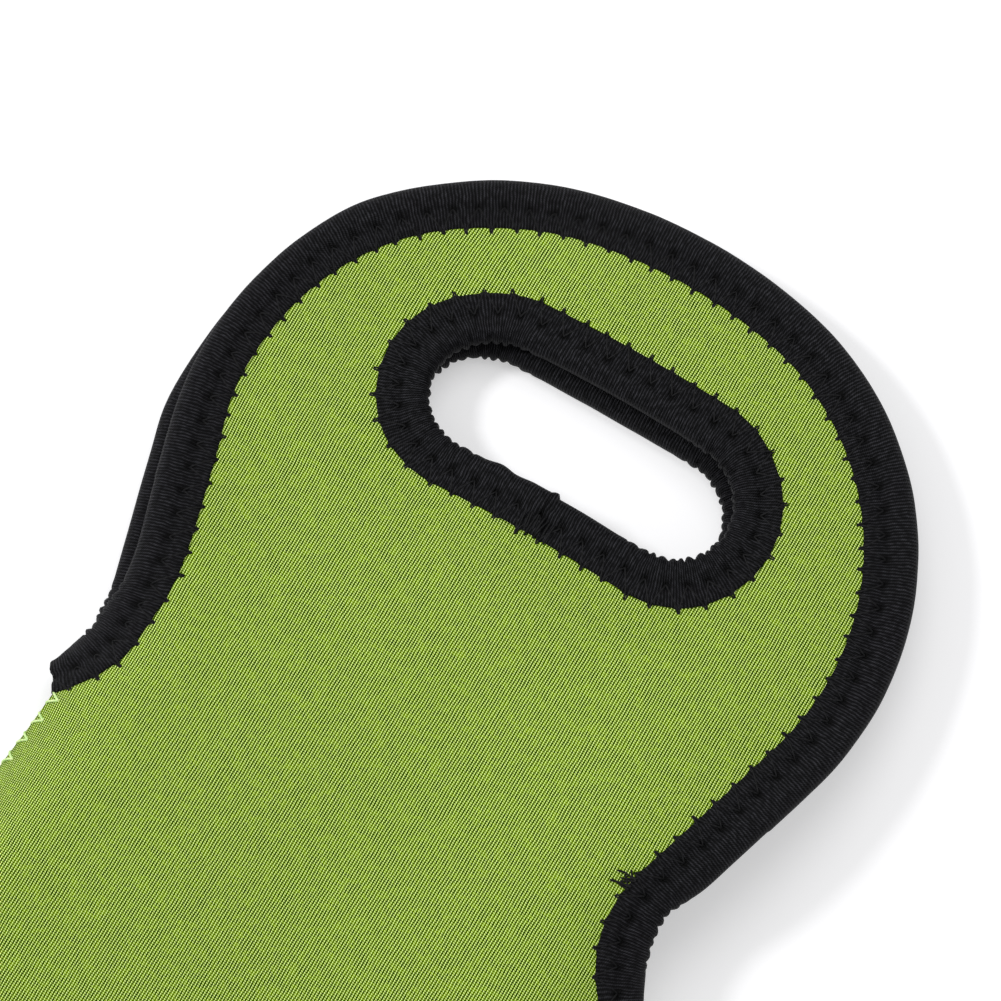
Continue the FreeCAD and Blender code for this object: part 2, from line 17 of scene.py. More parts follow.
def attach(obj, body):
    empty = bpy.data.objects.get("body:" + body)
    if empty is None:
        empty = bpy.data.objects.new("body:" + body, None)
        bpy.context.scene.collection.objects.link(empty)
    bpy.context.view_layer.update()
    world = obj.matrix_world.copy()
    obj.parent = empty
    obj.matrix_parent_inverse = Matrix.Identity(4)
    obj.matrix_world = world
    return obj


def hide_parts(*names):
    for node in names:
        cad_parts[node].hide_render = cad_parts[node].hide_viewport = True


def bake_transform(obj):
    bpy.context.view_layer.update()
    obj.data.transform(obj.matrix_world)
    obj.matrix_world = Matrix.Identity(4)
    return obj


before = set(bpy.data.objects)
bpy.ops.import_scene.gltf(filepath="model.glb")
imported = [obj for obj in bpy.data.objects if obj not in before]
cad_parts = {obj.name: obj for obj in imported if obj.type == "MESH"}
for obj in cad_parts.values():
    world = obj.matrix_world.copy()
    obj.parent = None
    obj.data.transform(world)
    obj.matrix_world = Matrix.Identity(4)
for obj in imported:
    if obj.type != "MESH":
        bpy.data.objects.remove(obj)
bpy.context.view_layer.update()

LOG = logging.getLogger("carrier")
MM = 0.001
HIDDEN_EDGE = 3.0  # Where a panel stops inside its folded tape, in millimetres.
LEAST_DROP = 1e-4  # Keeps a border that lies level from having no section.
FULL_TURN = 2 * math.pi
# Mesh attribute that carries the painted shade in the tape's needle holes.
PRICK_SHADE_LAYER = "prick"

Socket = bpy.types.NodeSocket
Sockets = dict[str, Socket]
Colour = tuple[float, float, float, float]
Value = Union[float, Colour, Socket]


class Side(Enum):
    """The two panels of the carrier."""

    FRONT = "front"
    BACK = "back"


class Ply(Enum):
    """Layers of a panel as (name, depth of its outer side, thickness) in millimetres."""

    KNIT = ("knit", 0.0, 0.48)
    FOAM = ("foam", 0.5, 2.38)
    LINING = ("lining", 2.9, 0.5)


def smooth(low: float, high: float, value: float) -> float:
    """Ease from 0 at low to 1 at high.

    Args:
        low: Value where the ramp starts.
        high: Value where the ramp ends.
        value: Value to place on the ramp.

    Returns:
        Share between 0 and 1.
    """
    share = min(max((value - low) / (high - low), 0.0), 1.0)
    return share * share * (3.0 - 2.0 * share)


def hump(value: float, middle: float, width: float) -> float:
    """Bell curve that is 1 at its middle and dies out over its width."""
    return math.exp(-(((value - middle) / width) ** 2))


def srgb(red: int, green: int, blue: int) -> Colour:
    """Turn a colour as seen on a screen into the linear colour that a shader takes.

    Args:
        red: Red from 0 to 255.
        green: Green from 0 to 255.
        blue: Blue from 0 to 255.

    Returns:
        Linear colour with full opacity.
    """
    linear = []
    for level in (red, green, blue):
        share = level / 255.0
        linear.append(share / 12.92 if share <= 0.04045 else ((share + 0.055) / 1.055) ** 2.4)
    return (linear[0], linear[1], linear[2], 1.0)


# Outlines


@dataclass(frozen=True)
class Move:
    """One straight or round stretch of a bound edge, in the head's own plane and in millimetres."""

    origin: tuple[float, float]
    heading: float
    length: float
    radius: float = 0.0
    sweep: float = 0.0
    outward_growth: float = 1.0

    def reach(self, across: float) -> float:
        """Length of the stretch at a distance inside the edge.

        Args:
            across: Distance inside the bound edge.

        Returns:
            Length in millimetres.
        """
        if not self.radius:
            return self.length
        return abs(self.sweep) * (self.radius + self.outward_growth * across)

    def place(self, share: float, across: float) -> tuple[float, float]:
        """Find a point of the stretch.

        Args:
            share: Place along the stretch, from 0 to 1.
            across: Distance inside the bound edge.

        Returns:
            The point in the head's plane.
        """
        x, y = self.origin
        if self.radius:
            angle = self.heading + self.sweep * share
            radius = self.radius + self.outward_growth * across
            return x + radius * math.cos(angle), y + radius * math.sin(angle)
        run = self.length * share
        inward = self.heading + math.pi / 2
        return (
            x + run * math.cos(self.heading) + across * math.cos(inward),
            y + run * math.sin(self.heading) + across * math.sin(inward),
        )


@dataclass(frozen=True)
class EdgeRun:
    """A bound edge as a chain of moves, measured along the line of its stitching."""

    moves: tuple[Move, ...]
    stitch_line: float = 7.2

    @cached_property
    def length(self) -> float:
        """Length of the run along the stitching."""
        return sum(move.reach(self.stitch_line) for move in self.moves)

    def place(self, along: float, across: float) -> tuple[float, float]:
        """Find the point at a distance along the run and inside the edge.

        Args:
            along: Distance along the stitching.
            across: Distance inside the bound edge.

        Returns:
            The point in the head's plane.
        """
        left = along
        for move in self.moves:
            reach = move.reach(self.stitch_line)
            if left <= reach or move is self.moves[-1]:
                return move.place(left / reach, across)
            left -= reach
        return self.moves[-1].place(1.0, across)


@dataclass(frozen=True)
class HeadShape:
    """Outline of a handle head with its slot, measured from the middle of the slot in millimetres."""

    crown_radius: float = 103.5
    crown_y: float = -53.5
    crown_angle: float = math.radians(13.2)
    side_radius: float = 65.27
    side_x: float = 8.73
    side_y: float = -16.28
    neck_angle: float = math.radians(16.3)
    neck_run: float = 33.0
    waist_radius: float = 20.0
    waist_x: float = 81.3
    waist_y: float = -71.9
    fold_y: float = -85.3
    slot_reach: float = 20.5
    slot_radius: float = 12.0
    tape_flare: float = math.radians(44.5)
    front_bow: float = 1.7
    back_bow: float = 0.4
    bow_reach: float = 34.0

    def half_width(self, y: float, inset: float = 0.0) -> float:
        """Half the head's width at a height.

        Args:
            y: Height from the middle of the slot.
            inset: Distance inside the bound edge.

        Returns:
            Half width, or 0 above the crown.
        """
        crown = self.crown_radius - inset
        side = self.side_radius - inset
        waist = self.waist_radius + inset
        if y >= self.crown_y + crown * math.cos(self.crown_angle):
            return math.sqrt(max(crown**2 - (y - self.crown_y) ** 2, 0.0))
        if y >= self.side_y - side * math.sin(self.neck_angle):
            return self.side_x + math.sqrt(max(side**2 - (y - self.side_y) ** 2, 0.0))
        neck_y = self.waist_y + waist * math.sin(self.neck_angle)
        neck_x = self.waist_x - waist * math.cos(self.neck_angle)
        if y >= neck_y:
            return neck_x + (y - neck_y) * math.tan(self.neck_angle)
        return self.waist_x - math.sqrt(max(waist**2 - (y - self.waist_y) ** 2, 0.0))

    def edge_run(self) -> EdgeRun:
        """Outer edge of the head from its right mouth corner over the crown to the left one.

        Returns:
            Run of seven moves.
        """
        flare = self.tape_flare
        bend = flare + self.neck_angle
        meet = math.pi / 2 - self.crown_angle
        side_turn = meet + self.neck_angle
        right_start = (
            self.waist_x - self.waist_radius * math.cos(self.neck_angle),
            self.waist_y + self.waist_radius * math.sin(self.neck_angle),
        )
        left_start = (
            -self.side_x - self.side_radius * math.cos(self.neck_angle),
            self.side_y - self.side_radius * math.sin(self.neck_angle),
        )
        return EdgeRun((
            Move((self.waist_x, self.waist_y), math.pi + flare, 0, self.waist_radius, -bend, 1.0),
            Move(right_start, math.pi / 2 - self.neck_angle, self.neck_run),
            Move((self.side_x, self.side_y), -self.neck_angle, 0, self.side_radius, side_turn, -1.0),
            Move((0, self.crown_y), meet, 0, self.crown_radius, 2 * self.crown_angle, -1.0),
            Move((-self.side_x, self.side_y), math.pi - meet, 0, self.side_radius, side_turn, -1.0),
            Move(left_start, -math.pi / 2 + self.neck_angle, self.neck_run),
            Move((-self.waist_x, self.waist_y), self.neck_angle, 0, self.waist_radius, -bend, 1.0),
        ))

    def slot_run(self) -> EdgeRun:
        """Edge of the hand slot, once round clockwise from the middle of its lower side.

        Returns:
            Run of five moves.
        """
        reach, radius = self.slot_reach, self.slot_radius
        return EdgeRun((
            Move((0, -radius), math.pi, reach),
            Move((-reach, 0), -math.pi / 2, 0, radius, -math.pi, 1.0),
            Move((-reach, radius), 0.0, 2 * reach),
            Move((reach, 0), math.pi / 2, 0, radius, -math.pi, 1.0),
            Move((reach, -radius), math.pi, reach),
        ))

    def slot_arch(self, side: Side, x: float, y: float) -> float:
        """Upward bow of the hand slot.

        Args:
            side: Panel that the slot belongs to.
            x: Place across the head.
            y: Place along the head.

        Returns:
            Rise in millimetres, which dies out away from the slot.
        """
        rise = self.front_bow if side is Side.FRONT else self.back_bow
        fade = 1.0 - smooth(22.0, 40.0, abs(y))
        return rise * max(1.0 - (x / self.bow_reach) ** 2, 0.0) * fade

    def slot_axis(self, x: float) -> float:
        """Nearest place on the middle line of the hand slot."""
        return min(max(x, -self.slot_reach), self.slot_reach)

    def slot_distance(self, x: float, y: float) -> float:
        """Distance outside the edge of the hand slot."""
        return math.hypot(x - self.slot_axis(x), y) - self.slot_radius

    def onto_slot(self, x: float, y: float, grow: float) -> tuple[float, float]:
        """Nearest point of the slot's outline.

        Args:
            x: Place across the head.
            y: Place along the head.
            grow: Distance of that outline outside the slot's edge.

        Returns:
            The point on the outline.
        """
        near = self.slot_axis(x)
        reach = max(math.hypot(x - near, y), 1e-6)
        scale = (self.slot_radius + grow) / reach
        return near + (x - near) * scale, y * scale


@dataclass(frozen=True)
class RimSection:
    """Cross-section of a panel's border: level, then bent over a radius, then upright down to the seam."""

    drop: float
    radius: float

    @property
    def turn(self) -> float:
        """Angle through which the border bends."""
        return math.pi / 2 if self.drop >= self.radius else math.acos(1.0 - self.drop / self.radius)

    @property
    def wall(self) -> float:
        """Height of the upright part."""
        return max(self.drop - self.radius, 0.0)

    @property
    def arc_reach(self) -> float:
        """Distance along the cloth from the seam to where the panel is level."""
        return self.radius * self.turn + self.wall

    @property
    def plan_reach(self) -> float:
        """The same distance, seen from above."""
        return self.radius * math.sin(self.turn)

    @property
    def spare(self) -> float:
        """Extra cloth that the border takes, compared with its plan."""
        return self.arc_reach - self.plan_reach

    def place(self, cloth: float) -> tuple[float, float]:
        """Find a point of the border.

        Args:
            cloth: Distance along the cloth from the seam.

        Returns:
            Distance inside the outline, and drop below the level part.
        """
        if cloth < self.wall:
            return 0.0, self.drop - cloth
        if cloth < self.arc_reach:
            angle = self.turn - (cloth - self.wall) / self.radius
            return self.plan_reach - self.radius * math.sin(angle), self.radius * (1.0 - math.cos(angle))
        return self.plan_reach + cloth - self.arc_reach, 0.0


@dataclass(frozen=True)
class PouchShape:
    """Plan and heights of the pouch in the part's frame, in millimetres."""

    fold_y: float = 59.695
    slot_y: float = 145.0
    bottom_y: float = -194.5
    half_body: float = 66.0
    shoulder_ease: float = 4.0
    shoulder_length: float = 45.0
    corner: float = 28.0
    fold_height: float = 15.6
    tilt: float = math.radians(2.054)
    joint_height: float = 3.4
    head_sag: float = 5.0
    sag_run: float = 40.0
    back_lift: float = 1.15
    joint_rise: float = 3.2
    low_side: float = 2.4
    high_side: float = 1.2
    waist_lift: float = 5.5
    head_radius: float = 34.0
    wall_radius: float = 19.0
    curl_radius: float = 9.0
    crown_pull: float = 0.7
    slot_end_pull: float = 0.9
    slip: float = 1.3
    slip_down: float = 1.2

    @property
    def corner_x(self) -> float:
        """Distance of the bottom corners' centres from the middle."""
        return self.half_body - self.corner

    @property
    def corner_y(self) -> float:
        """Place of the bottom corners' centres along the part."""
        return self.bottom_y + self.corner

    @lru_cache(maxsize=None)
    def half_width(self, y: float) -> float:
        """Half the pouch's width at a height, above its bottom corners.

        Args:
            y: Place along the part.

        Returns:
            Half width in millimetres.
        """
        shoulder_y = self.fold_y - self.shoulder_length
        if y <= shoulder_y:
            return self.half_body
        radius = (self.shoulder_length**2 + self.shoulder_ease**2) / (2 * self.shoulder_ease)
        return self.half_body - radius + math.sqrt(radius**2 - (y - shoulder_y) ** 2)

    def plane(self, y: float) -> float:
        """Height of the front panel's level part."""
        return self.fold_height + (self.fold_y - y) * math.tan(self.tilt)

    def back_level(self, y: float) -> float:
        """Height of the back panel's level part, whose head rests on its tape."""
        return self.back_lift * smooth(-6, 10, y - self.fold_y)

    def joint(self, y: float) -> float:
        """Height of the line where the two panels are sewn together, which rises towards the mouth."""
        return self.joint_height + self.joint_rise * (1.0 - smooth(6, 60, self.fold_y - y))

    @lru_cache(maxsize=None)
    def front_section(self, y: float) -> RimSection:
        """Border of the front panel at a height.

        Args:
            y: Place along the part.

        Returns:
            Section of the border.
        """
        above = y - self.fold_y
        if above >= 0:
            return RimSection(self.head_sag * (1.0 - smooth(0, self.sag_run, above)) + LEAST_DROP, self.head_radius)
        full = self.plane(y) - self.joint(y)
        radius = self.head_radius + (self.wall_radius - self.head_radius) * smooth(0, 40, -above)
        return RimSection(self.head_sag + (full - self.head_sag) * smooth(0, 17, -above), radius)

    @lru_cache(maxsize=None)
    def back_section(self, y: float) -> RimSection:
        """Border of the back panel at a height, which curls up to the seam."""
        curl = 1.0 - smooth(-8, 12, y - self.fold_y)
        return RimSection(self.joint(y) * curl + LEAST_DROP, self.curl_radius)

    def section(self, side: Side, y: float) -> RimSection:
        """Border of a panel at a height."""
        return self.front_section(y) if side is Side.FRONT else self.back_section(y)

    def raised(self, rise: float) -> Vector:
        """Shift that lifts a point towards the camera's place in the photograph."""
        return Vector((0.156 * rise, -0.262 * rise, rise))

    def prop(self, side: Side, x: float, y: float) -> Vector:
        """How far the soft walls stand off the table at the right of the waist.

        Args:
            side: Panel.
            x: Place across the part.
            y: Place along the part.

        Returns:
            Shift in millimetres, the same for both panels below the mouth.
        """
        upper = smooth(140, 70, y) if side is Side.FRONT else smooth(86, 60, y)
        return self.raised(self.waist_lift * smooth(0, 62, x) * upper * smooth(-40, 45, y))

    def lean(self, x: float, y: float) -> Vector:
        """How the front head lies lower on its left side than on its right and is drawn out at the left.

        Args:
            x: Place across the head.
            y: Place along the part.

        Returns:
            Shift in millimetres.
        """
        share = smooth(0, 45, y - self.fold_y)
        rise = share * (self.high_side * smooth(-5, 55, x) - self.low_side * smooth(5, -45, x))
        up = y - self.slot_y
        crown = self.crown_pull * hump(x, -62, 34) * hump(up, 20, 26)
        slot_end = self.slot_end_pull * smooth(-25, -45, x) * smooth(-74, -60, x) * smooth(36, 20, abs(up))
        drawn = Vector((-0.95 * crown - slot_end, 0.3 * crown, 0.0))
        return self.raised(rise) + drawn + self.prop(Side.FRONT, x, y)

    def drift(self, x: float, y: float) -> Vector:
        """How far the back head has slipped and stretched sideways under the front one.

        Args:
            x: Place across the head.
            y: Place along the part.

        Returns:
            Shift in millimetres.
        """
        aside = -self.slip - 2.0 * smooth(-22, -46, x) - smooth(35, 65, x)
        aside += 1.1 * smooth(-58, -70, x) * smooth(112, 132, y)
        slipped = Vector((aside, -self.slip_down, 0.0)) * smooth(-4, 16, y - self.fold_y)
        return slipped + self.prop(Side.BACK, x, y)


HEAD = HeadShape()
POUCH = PouchShape()
EDGE_RUN = HEAD.edge_run()
SLOT_RUN = HEAD.slot_run()


def head_place(side: Side) -> Matrix:
    """Placement of a head whose outer face is level with z 0 and points up.

    Args:
        side: Panel that the head belongs to.

    Returns:
        Matrix from the head's plane in millimetres to the part's frame in metres.
    """
    if side is Side.BACK:
        place = Matrix.Translation((0, POUCH.slot_y, POUCH.back_lift)) @ Matrix.Rotation(math.pi, 4, "Y")
    else:
        place = Matrix.Translation((0, POUCH.fold_y, POUCH.fold_height))
        place = place @ Matrix.Rotation(-POUCH.tilt, 4, "X") @ Matrix.Translation((0, -HEAD.fold_y, 0))
    return Matrix.Scale(MM, 4) @ place


@lru_cache(maxsize=None)
def half_plan(y: float) -> float:
    """Half the width of a panel at a height of the part, seen from above.

    Args:
        y: Height in the part's frame, in millimetres.

    Returns:
        Half width; in the head it stops inside the folded tape.
    """
    head_y = y - POUCH.slot_y
    if head_y <= HEAD.fold_y:
        return POUCH.half_width(y)
    mouth = POUCH.half_width(POUCH.fold_y)
    head = HEAD.half_width(head_y, HIDDEN_EDGE)
    return mouth + (head - mouth) * smooth(0, 4, head_y - HEAD.fold_y)


def border_bend(side: Side, x: float, y: float) -> tuple[float, float]:
    """How a panel's border bends away from its level part towards the seam.

    Args:
        side: Panel.
        x: Place across the panel, from its middle.
        y: Place along the head, from the middle of the slot.

    Returns:
        Drop in millimetres and slope in radians.
    """
    part_y = round(POUCH.slot_y + y, 2)
    section = POUCH.section(side, part_y)
    beyond = abs(x) - (half_plan(part_y) - section.plan_reach)
    if beyond <= 0 or section.drop < 0.01:
        return 0.0, 0.0
    slope = math.asin(min(beyond / section.radius, 0.9))
    return section.radius * (1.0 - math.cos(slope)), slope


# Shader building


class Graph:
    """Adds nodes to one tree and joins them."""

    def __init__(self, tree: bpy.types.NodeTree) -> None:
        """Keep the tree that is built."""
        self.tree = tree

    def add(self, kind: str, **values: Value) -> bpy.types.Node:
        """Add a node.

        Args:
            kind: Node type.
            **values: Sockets to join or fill, with underscores for spaces.

        Returns:
            The new node.
        """
        node = self.tree.nodes.new(kind)
        for name, value in values.items():
            self.feed(node.inputs[name.replace("_", " ")], value)
        return node

    def feed(self, socket: Socket, value: Value) -> None:
        """Join a socket to another one, or set its own value.

        Args:
            socket: Socket that takes the value.
            value: Socket to join, or a plain value.
        """
        if isinstance(value, Socket):
            self.tree.links.new(value, socket)
        else:
            socket.default_value = value

    def math(self, operation: str, *values: Value, clamp: bool = False) -> Socket:
        """Work out one step of arithmetic.

        Args:
            operation: Name of the step.
            *values: Numbers or sockets.
            clamp: Keep the answer between 0 and 1.

        Returns:
            Socket with the answer.
        """
        node = self.tree.nodes.new("ShaderNodeMath")
        node.operation = operation
        node.use_clamp = clamp
        for socket, value in zip(node.inputs, values):
            self.feed(socket, value)
        return node.outputs[0]

    def ramp(self, value: Value, low: float, high: float, start: float = 0.0, end: float = 1.0) -> Socket:
        """Ease a value from one range to another.

        Args:
            value: Socket to read.
            low: Value that gives start.
            high: Value that gives end.
            start: Answer at low.
            end: Answer at high.

        Returns:
            Socket with the eased value.
        """
        node = self.tree.nodes.new("ShaderNodeMapRange")
        node.interpolation_type = "SMOOTHSTEP"
        for socket, number in zip(node.inputs, (value, low, high, start, end)):
            self.feed(socket, number)
        return node.outputs[0]

    def mix(self, share: Value, first: Value, second: Value) -> Socket:
        """Mix two colours.

        Args:
            share: Part of the second colour.
            first: Colour at 0.
            second: Colour at 1.

        Returns:
            Socket with the mixed colour.
        """
        node = self.tree.nodes.new("ShaderNodeMix")
        node.data_type = "RGBA"
        self.feed(node.inputs[0], share)
        self.feed(node.inputs[6], first)
        self.feed(node.inputs[7], second)
        return node.outputs[2]

    def wave(self, phase: Value) -> Socket:
        """Cosine of a phase that is counted in whole turns."""
        return self.math("COSINE", self.math("MULTIPLY", phase, FULL_TURN))

    def noise(self, vector: Socket, scale: float, detail: float = 2.0) -> Socket:
        """Even noise between 0 and 1.

        Args:
            vector: Coordinates to read.
            scale: Grains per metre.
            detail: Steps of finer noise.

        Returns:
            Socket with the noise.
        """
        return self.add("ShaderNodeTexNoise", Vector=vector, Scale=scale, Detail=detail).outputs[0]


@dataclass(frozen=True)
class Pattern:
    """A shared surface pattern, kept as a node group with named sockets."""

    name: str
    inputs: tuple[str, ...]
    outputs: tuple[str, ...]
    draw: Callable[[Graph, Sockets], Sockets]

    def group(self) -> bpy.types.NodeTree:
        """Build the group once and hand it out again after that.

        Returns:
            Node tree of the group.
        """
        made = bpy.data.node_groups.get(self.name)
        if made:
            return made
        tree = bpy.data.node_groups.new(self.name, "ShaderNodeTree")
        tree.interface.new_socket("Vector", in_out="INPUT", socket_type="NodeSocketVector")
        for name in self.inputs:
            tree.interface.new_socket(name, in_out="INPUT", socket_type="NodeSocketFloat")
        for name in self.outputs:
            tree.interface.new_socket(name, in_out="OUTPUT", socket_type="NodeSocketFloat")
        entry = tree.nodes.new("NodeGroupInput")
        leave = tree.nodes.new("NodeGroupOutput")
        drawn = self.draw(Graph(tree), {socket.name: socket for socket in entry.outputs if socket.name})
        for name, socket in drawn.items():
            tree.links.new(socket, leave.inputs[name])
        return tree

    def use(self, graph: Graph, vector: Socket, **values: float) -> Sockets:
        """Place the pattern in a material.

        Args:
            graph: Material's graph.
            vector: Coordinates of the surface.
            **values: Values of the pattern's other sockets.

        Returns:
            Sockets by name.
        """
        node = graph.tree.nodes.new("ShaderNodeGroup")
        node.node_tree = self.group()
        for name, value in {"Vector": vector, **values}.items():
            graph.feed(node.inputs[name], value)
        return {socket.name: socket for socket in node.outputs}


def draw_knit(graph: Graph, entry: Sockets) -> Sockets:
    """Jersey loops as slanting beads in upright wales, with gaps between them that take painted shade.

    Args:
        graph: Graph of the group.
        entry: Sockets that enter the group.

    Returns:
        Height of the loops, which also sets their painted highlight, depth of the gaps, which sets the painted shade
        in them, and unevenness of the yarn.
    """
    place = graph.add("ShaderNodeSeparateXYZ", Vector=entry["Vector"])
    sway = graph.math("SUBTRACT", graph.noise(entry["Vector"], 190.0), 0.5)
    across = graph.math("DIVIDE", place.outputs[0], entry["Wale"])
    across = graph.math("MULTIPLY_ADD", sway, 0.7, across)
    wale = graph.math("FLOOR", graph.math("ADD", across, 0.5))
    start = graph.add("ShaderNodeTexWhiteNoise", Vector=graph.add("ShaderNodeCombineXYZ", X=wale).outputs[0])
    along = graph.math("DIVIDE", place.outputs[1], entry["Course"])
    along = graph.math("MULTIPLY_ADD", start.outputs[0], 0.1, along)
    course = graph.math("FLOOR", graph.math("ADD", along, 0.5))
    cell = graph.add("ShaderNodeCombineXYZ", X=wale, Y=course)
    stray = graph.add("ShaderNodeTexWhiteNoise", Vector=cell.outputs[0]).outputs[0]
    swell: Value = 0.5
    for phase, share in ((across, 0.233), (along, 0.116), (graph.math("ADD", across, along), 0.151)):
        swell = graph.math("MULTIPLY_ADD", graph.wave(phase), share, swell)
    patch = graph.ramp(graph.noise(entry["Vector"], 330.0, 3.0), 0.3, 0.7, 0.92, 1.08)
    gap = graph.math("MULTIPLY", graph.ramp(swell, 0.57, 0.34), patch)
    hole = graph.math("MULTIPLY_ADD", stray, 0.5, 0.75)
    cloud = graph.math("MULTIPLY", graph.noise(entry["Vector"], 60.0, 4.0), 0.4)
    return {
        "Height": graph.ramp(swell, 0.54, 0.85),
        "Gap": graph.math("MULTIPLY", gap, hole, clamp=True),
        "Tone": graph.math("MULTIPLY_ADD", stray, 0.6, cloud),
    }


def draw_rib(graph: Graph, entry: Sockets) -> Sockets:
    """Fine ribs that run across a tape, with slack and tight stretches.

    Args:
        graph: Graph of the group.
        entry: Sockets that enter the group.

    Returns:
        Height of the ribs, which also sets their painted highlight, and unevenness of the yarn.
    """
    place = graph.add("ShaderNodeSeparateXYZ", Vector=entry["Vector"])
    sway = graph.math("SUBTRACT", graph.noise(entry["Vector"], 420.0), 0.5)
    along = graph.math("DIVIDE", place.outputs[0], entry["Pitch"])
    along = graph.math("MULTIPLY_ADD", sway, 1.1, along)
    fine = graph.math("ADD", graph.math("DIVIDE", place.outputs[1], YARN_PITCH), along)
    height: Value = 0.5
    for phase, share in ((along, 0.35), (fine, 0.15)):
        height = graph.math("MULTIPLY_ADD", graph.wave(phase), share, height)
    return {"Height": height, "Tone": graph.noise(entry["Vector"], 900.0, 3.0)}


YARN_PITCH = 0.00042
KNIT = Pattern("knit_loops", ("Wale", "Course"), ("Height", "Gap", "Tone"), draw_knit)
RIB = Pattern("tape_ribs", ("Pitch",), ("Height", "Tone"), draw_rib)


def new_material(name: str) -> tuple[bpy.types.Material, Graph, bpy.types.Node]:
    """Start a material with an empty graph and one shader.

    Args:
        name: Name of the finish.

    Returns:
        Material, graph and shader node.
    """
    material = bpy.data.materials.new(name)
    material.use_nodes = True
    graph = Graph(material.node_tree)
    shader = material.node_tree.nodes["Principled BSDF"]
    return material, graph, shader


@dataclass(frozen=True, kw_only=True)
class Finish:
    """A material with its roughness, gloss and relief; each kind draws its own surface."""

    name: str
    dark: Colour
    light: Colour
    rough: float
    rough_span: float = 0.15
    gloss: float
    bump: float
    relief: float = 0.0001

    def surface(self, graph: Graph) -> tuple[Socket, Socket, Socket]:
        """Draw the surface as its colour, the unevenness of its roughness and its height."""
        raise NotImplementedError

    def material(self) -> bpy.types.Material:
        """Make the material.

        Returns:
            The new material.
        """
        material, graph, shader = new_material(self.name)
        colour, tone, height = self.surface(graph)
        graph.feed(shader.inputs["Base Color"], colour)
        graph.feed(shader.inputs["Roughness"], graph.math("MULTIPLY_ADD", tone, self.rough_span, self.rough))
        shader.inputs["Specular IOR Level"].default_value = self.gloss
        bump = graph.add("ShaderNodeBump", Strength=self.bump, Distance=self.relief, Height=height)
        graph.feed(shader.inputs["Normal"], bump.outputs[0])
        return material


@dataclass(frozen=True, kw_only=True)
class KnitFinish(Finish):
    """Jersey face of a laminate, with a painted highlight on its loops' crests and painted shade in the deep gaps
    between them.
    """

    deep: Colour
    wale: float = 0.000585
    course: float = 0.00044
    rough: float = 0.74
    rough_span: float = 0.12
    gloss: float = 0.03
    bump: float = 0.6
    relief: float = 0.00022

    def surface(self, graph: Graph) -> tuple[Socket, Socket, Socket]:
        """Draw the loops as their colour, unevenness and height.

        Args:
            graph: Graph of the material.

        Returns:
            Sockets with the colour, the unevenness and the height.
        """
        chart = graph.add("ShaderNodeUVMap").outputs[0]
        knit = KNIT.use(graph, chart, Wale=self.wale, Course=self.course)
        tone = graph.ramp(knit["Tone"], 0.1, 0.9)
        # Painted highlight: the loops' crests are mixed towards the pale light colour.
        lit = graph.math("MULTIPLY", knit["Height"], graph.math("MULTIPLY_ADD", tone, 0.2, 0.9), clamp=True)
        yarn = graph.mix(lit, self.dark, self.light)
        # Painted shade: the gaps between the loops are mixed towards the deep colour.
        return graph.mix(knit["Gap"], yarn, self.deep), tone, knit["Height"]


@dataclass(frozen=True, kw_only=True)
class TapeFinish(Finish):
    """Ribbed elastic tape with a painted highlight on its rib crests, fainter on the inner flat part, and painted
    shade in its needle holes.
    """

    deep: Colour
    pitch: float = 0.00062
    bright_ribs_to: float = 0.0038
    faint_ribs_from: float = 0.0058
    rough: float = 0.52
    gloss: float = 0.1
    bump: float = 0.9
    relief: float = 0.0003

    def surface(self, graph: Graph) -> tuple[Socket, Socket, Socket]:
        """Draw the ribs as their colour, unevenness and height.

        Args:
            graph: Graph of the material.

        Returns:
            Sockets with the colour, the unevenness and the height.
        """
        chart = graph.add("ShaderNodeUVMap").outputs[0]
        rib = RIB.use(graph, chart, Pitch=self.pitch)
        tone = graph.ramp(rib["Tone"], 0.3, 0.75)
        across = graph.math("ABSOLUTE", graph.add("ShaderNodeSeparateXYZ", Vector=chart).outputs[1])
        # Painted highlight: the rib crests are mixed towards the light colour, fainter on the inner flat part of the
        # tape.
        rib_fade = graph.ramp(across, self.bright_ribs_to, self.faint_ribs_from, 1.0, 0.82)
        crest = graph.math("POWER", rib["Height"], 2.0)
        share = graph.math("MULTIPLY", crest, graph.math("MULTIPLY_ADD", tone, 0.8, 0.2))
        share = graph.math("MULTIPLY", share, rib_fade)
        # Painted shade: the needle holes are mixed towards the deep colour.
        prick = graph.tree.nodes.new("ShaderNodeAttribute")
        prick.attribute_name = PRICK_SHADE_LAYER
        ribbed = graph.mix(share, self.dark, self.light)
        return graph.mix(prick.outputs["Fac"], ribbed, self.deep), tone, rib["Height"]


@dataclass(frozen=True, kw_only=True)
class ThreadFinish(Finish):
    """Sewing thread with a fine twist."""

    fibres: float = 2600.0
    rough: float = 0.6
    gloss: float = 0.2
    bump: float = 0.5

    def surface(self, graph: Graph) -> tuple[Socket, Socket, Socket]:
        """Draw the fibres as their colour, unevenness and height.

        Args:
            graph: Graph of the material.

        Returns:
            Sockets with the colour, the unevenness and the height.
        """
        fibre = graph.noise(graph.add("ShaderNodeTexCoord").outputs["Object"], self.fibres, 3.0)
        share = graph.ramp(fibre, 0.35, 0.65)
        return graph.mix(share, self.dark, self.light), share, fibre


@dataclass(frozen=True, kw_only=True)
class FoamFinish(Finish):
    """Closed-cell rubber foam, seen only at cut edges."""

    cells: float = 2400.0
    rough: float = 0.7
    rough_span: float = 0.2
    gloss: float = 0.5
    bump: float = 0.4

    def surface(self, graph: Graph) -> tuple[Socket, Socket, Socket]:
        """Draw the cells as their colour, unevenness and height.

        Args:
            graph: Graph of the material.

        Returns:
            Sockets with the colour, the unevenness and the height.
        """
        chart = graph.add("ShaderNodeTexCoord").outputs["Object"]
        cell = graph.add("ShaderNodeTexVoronoi", Vector=chart, Scale=self.cells).outputs[0]
        return graph.mix(cell, self.dark, self.light), cell, cell
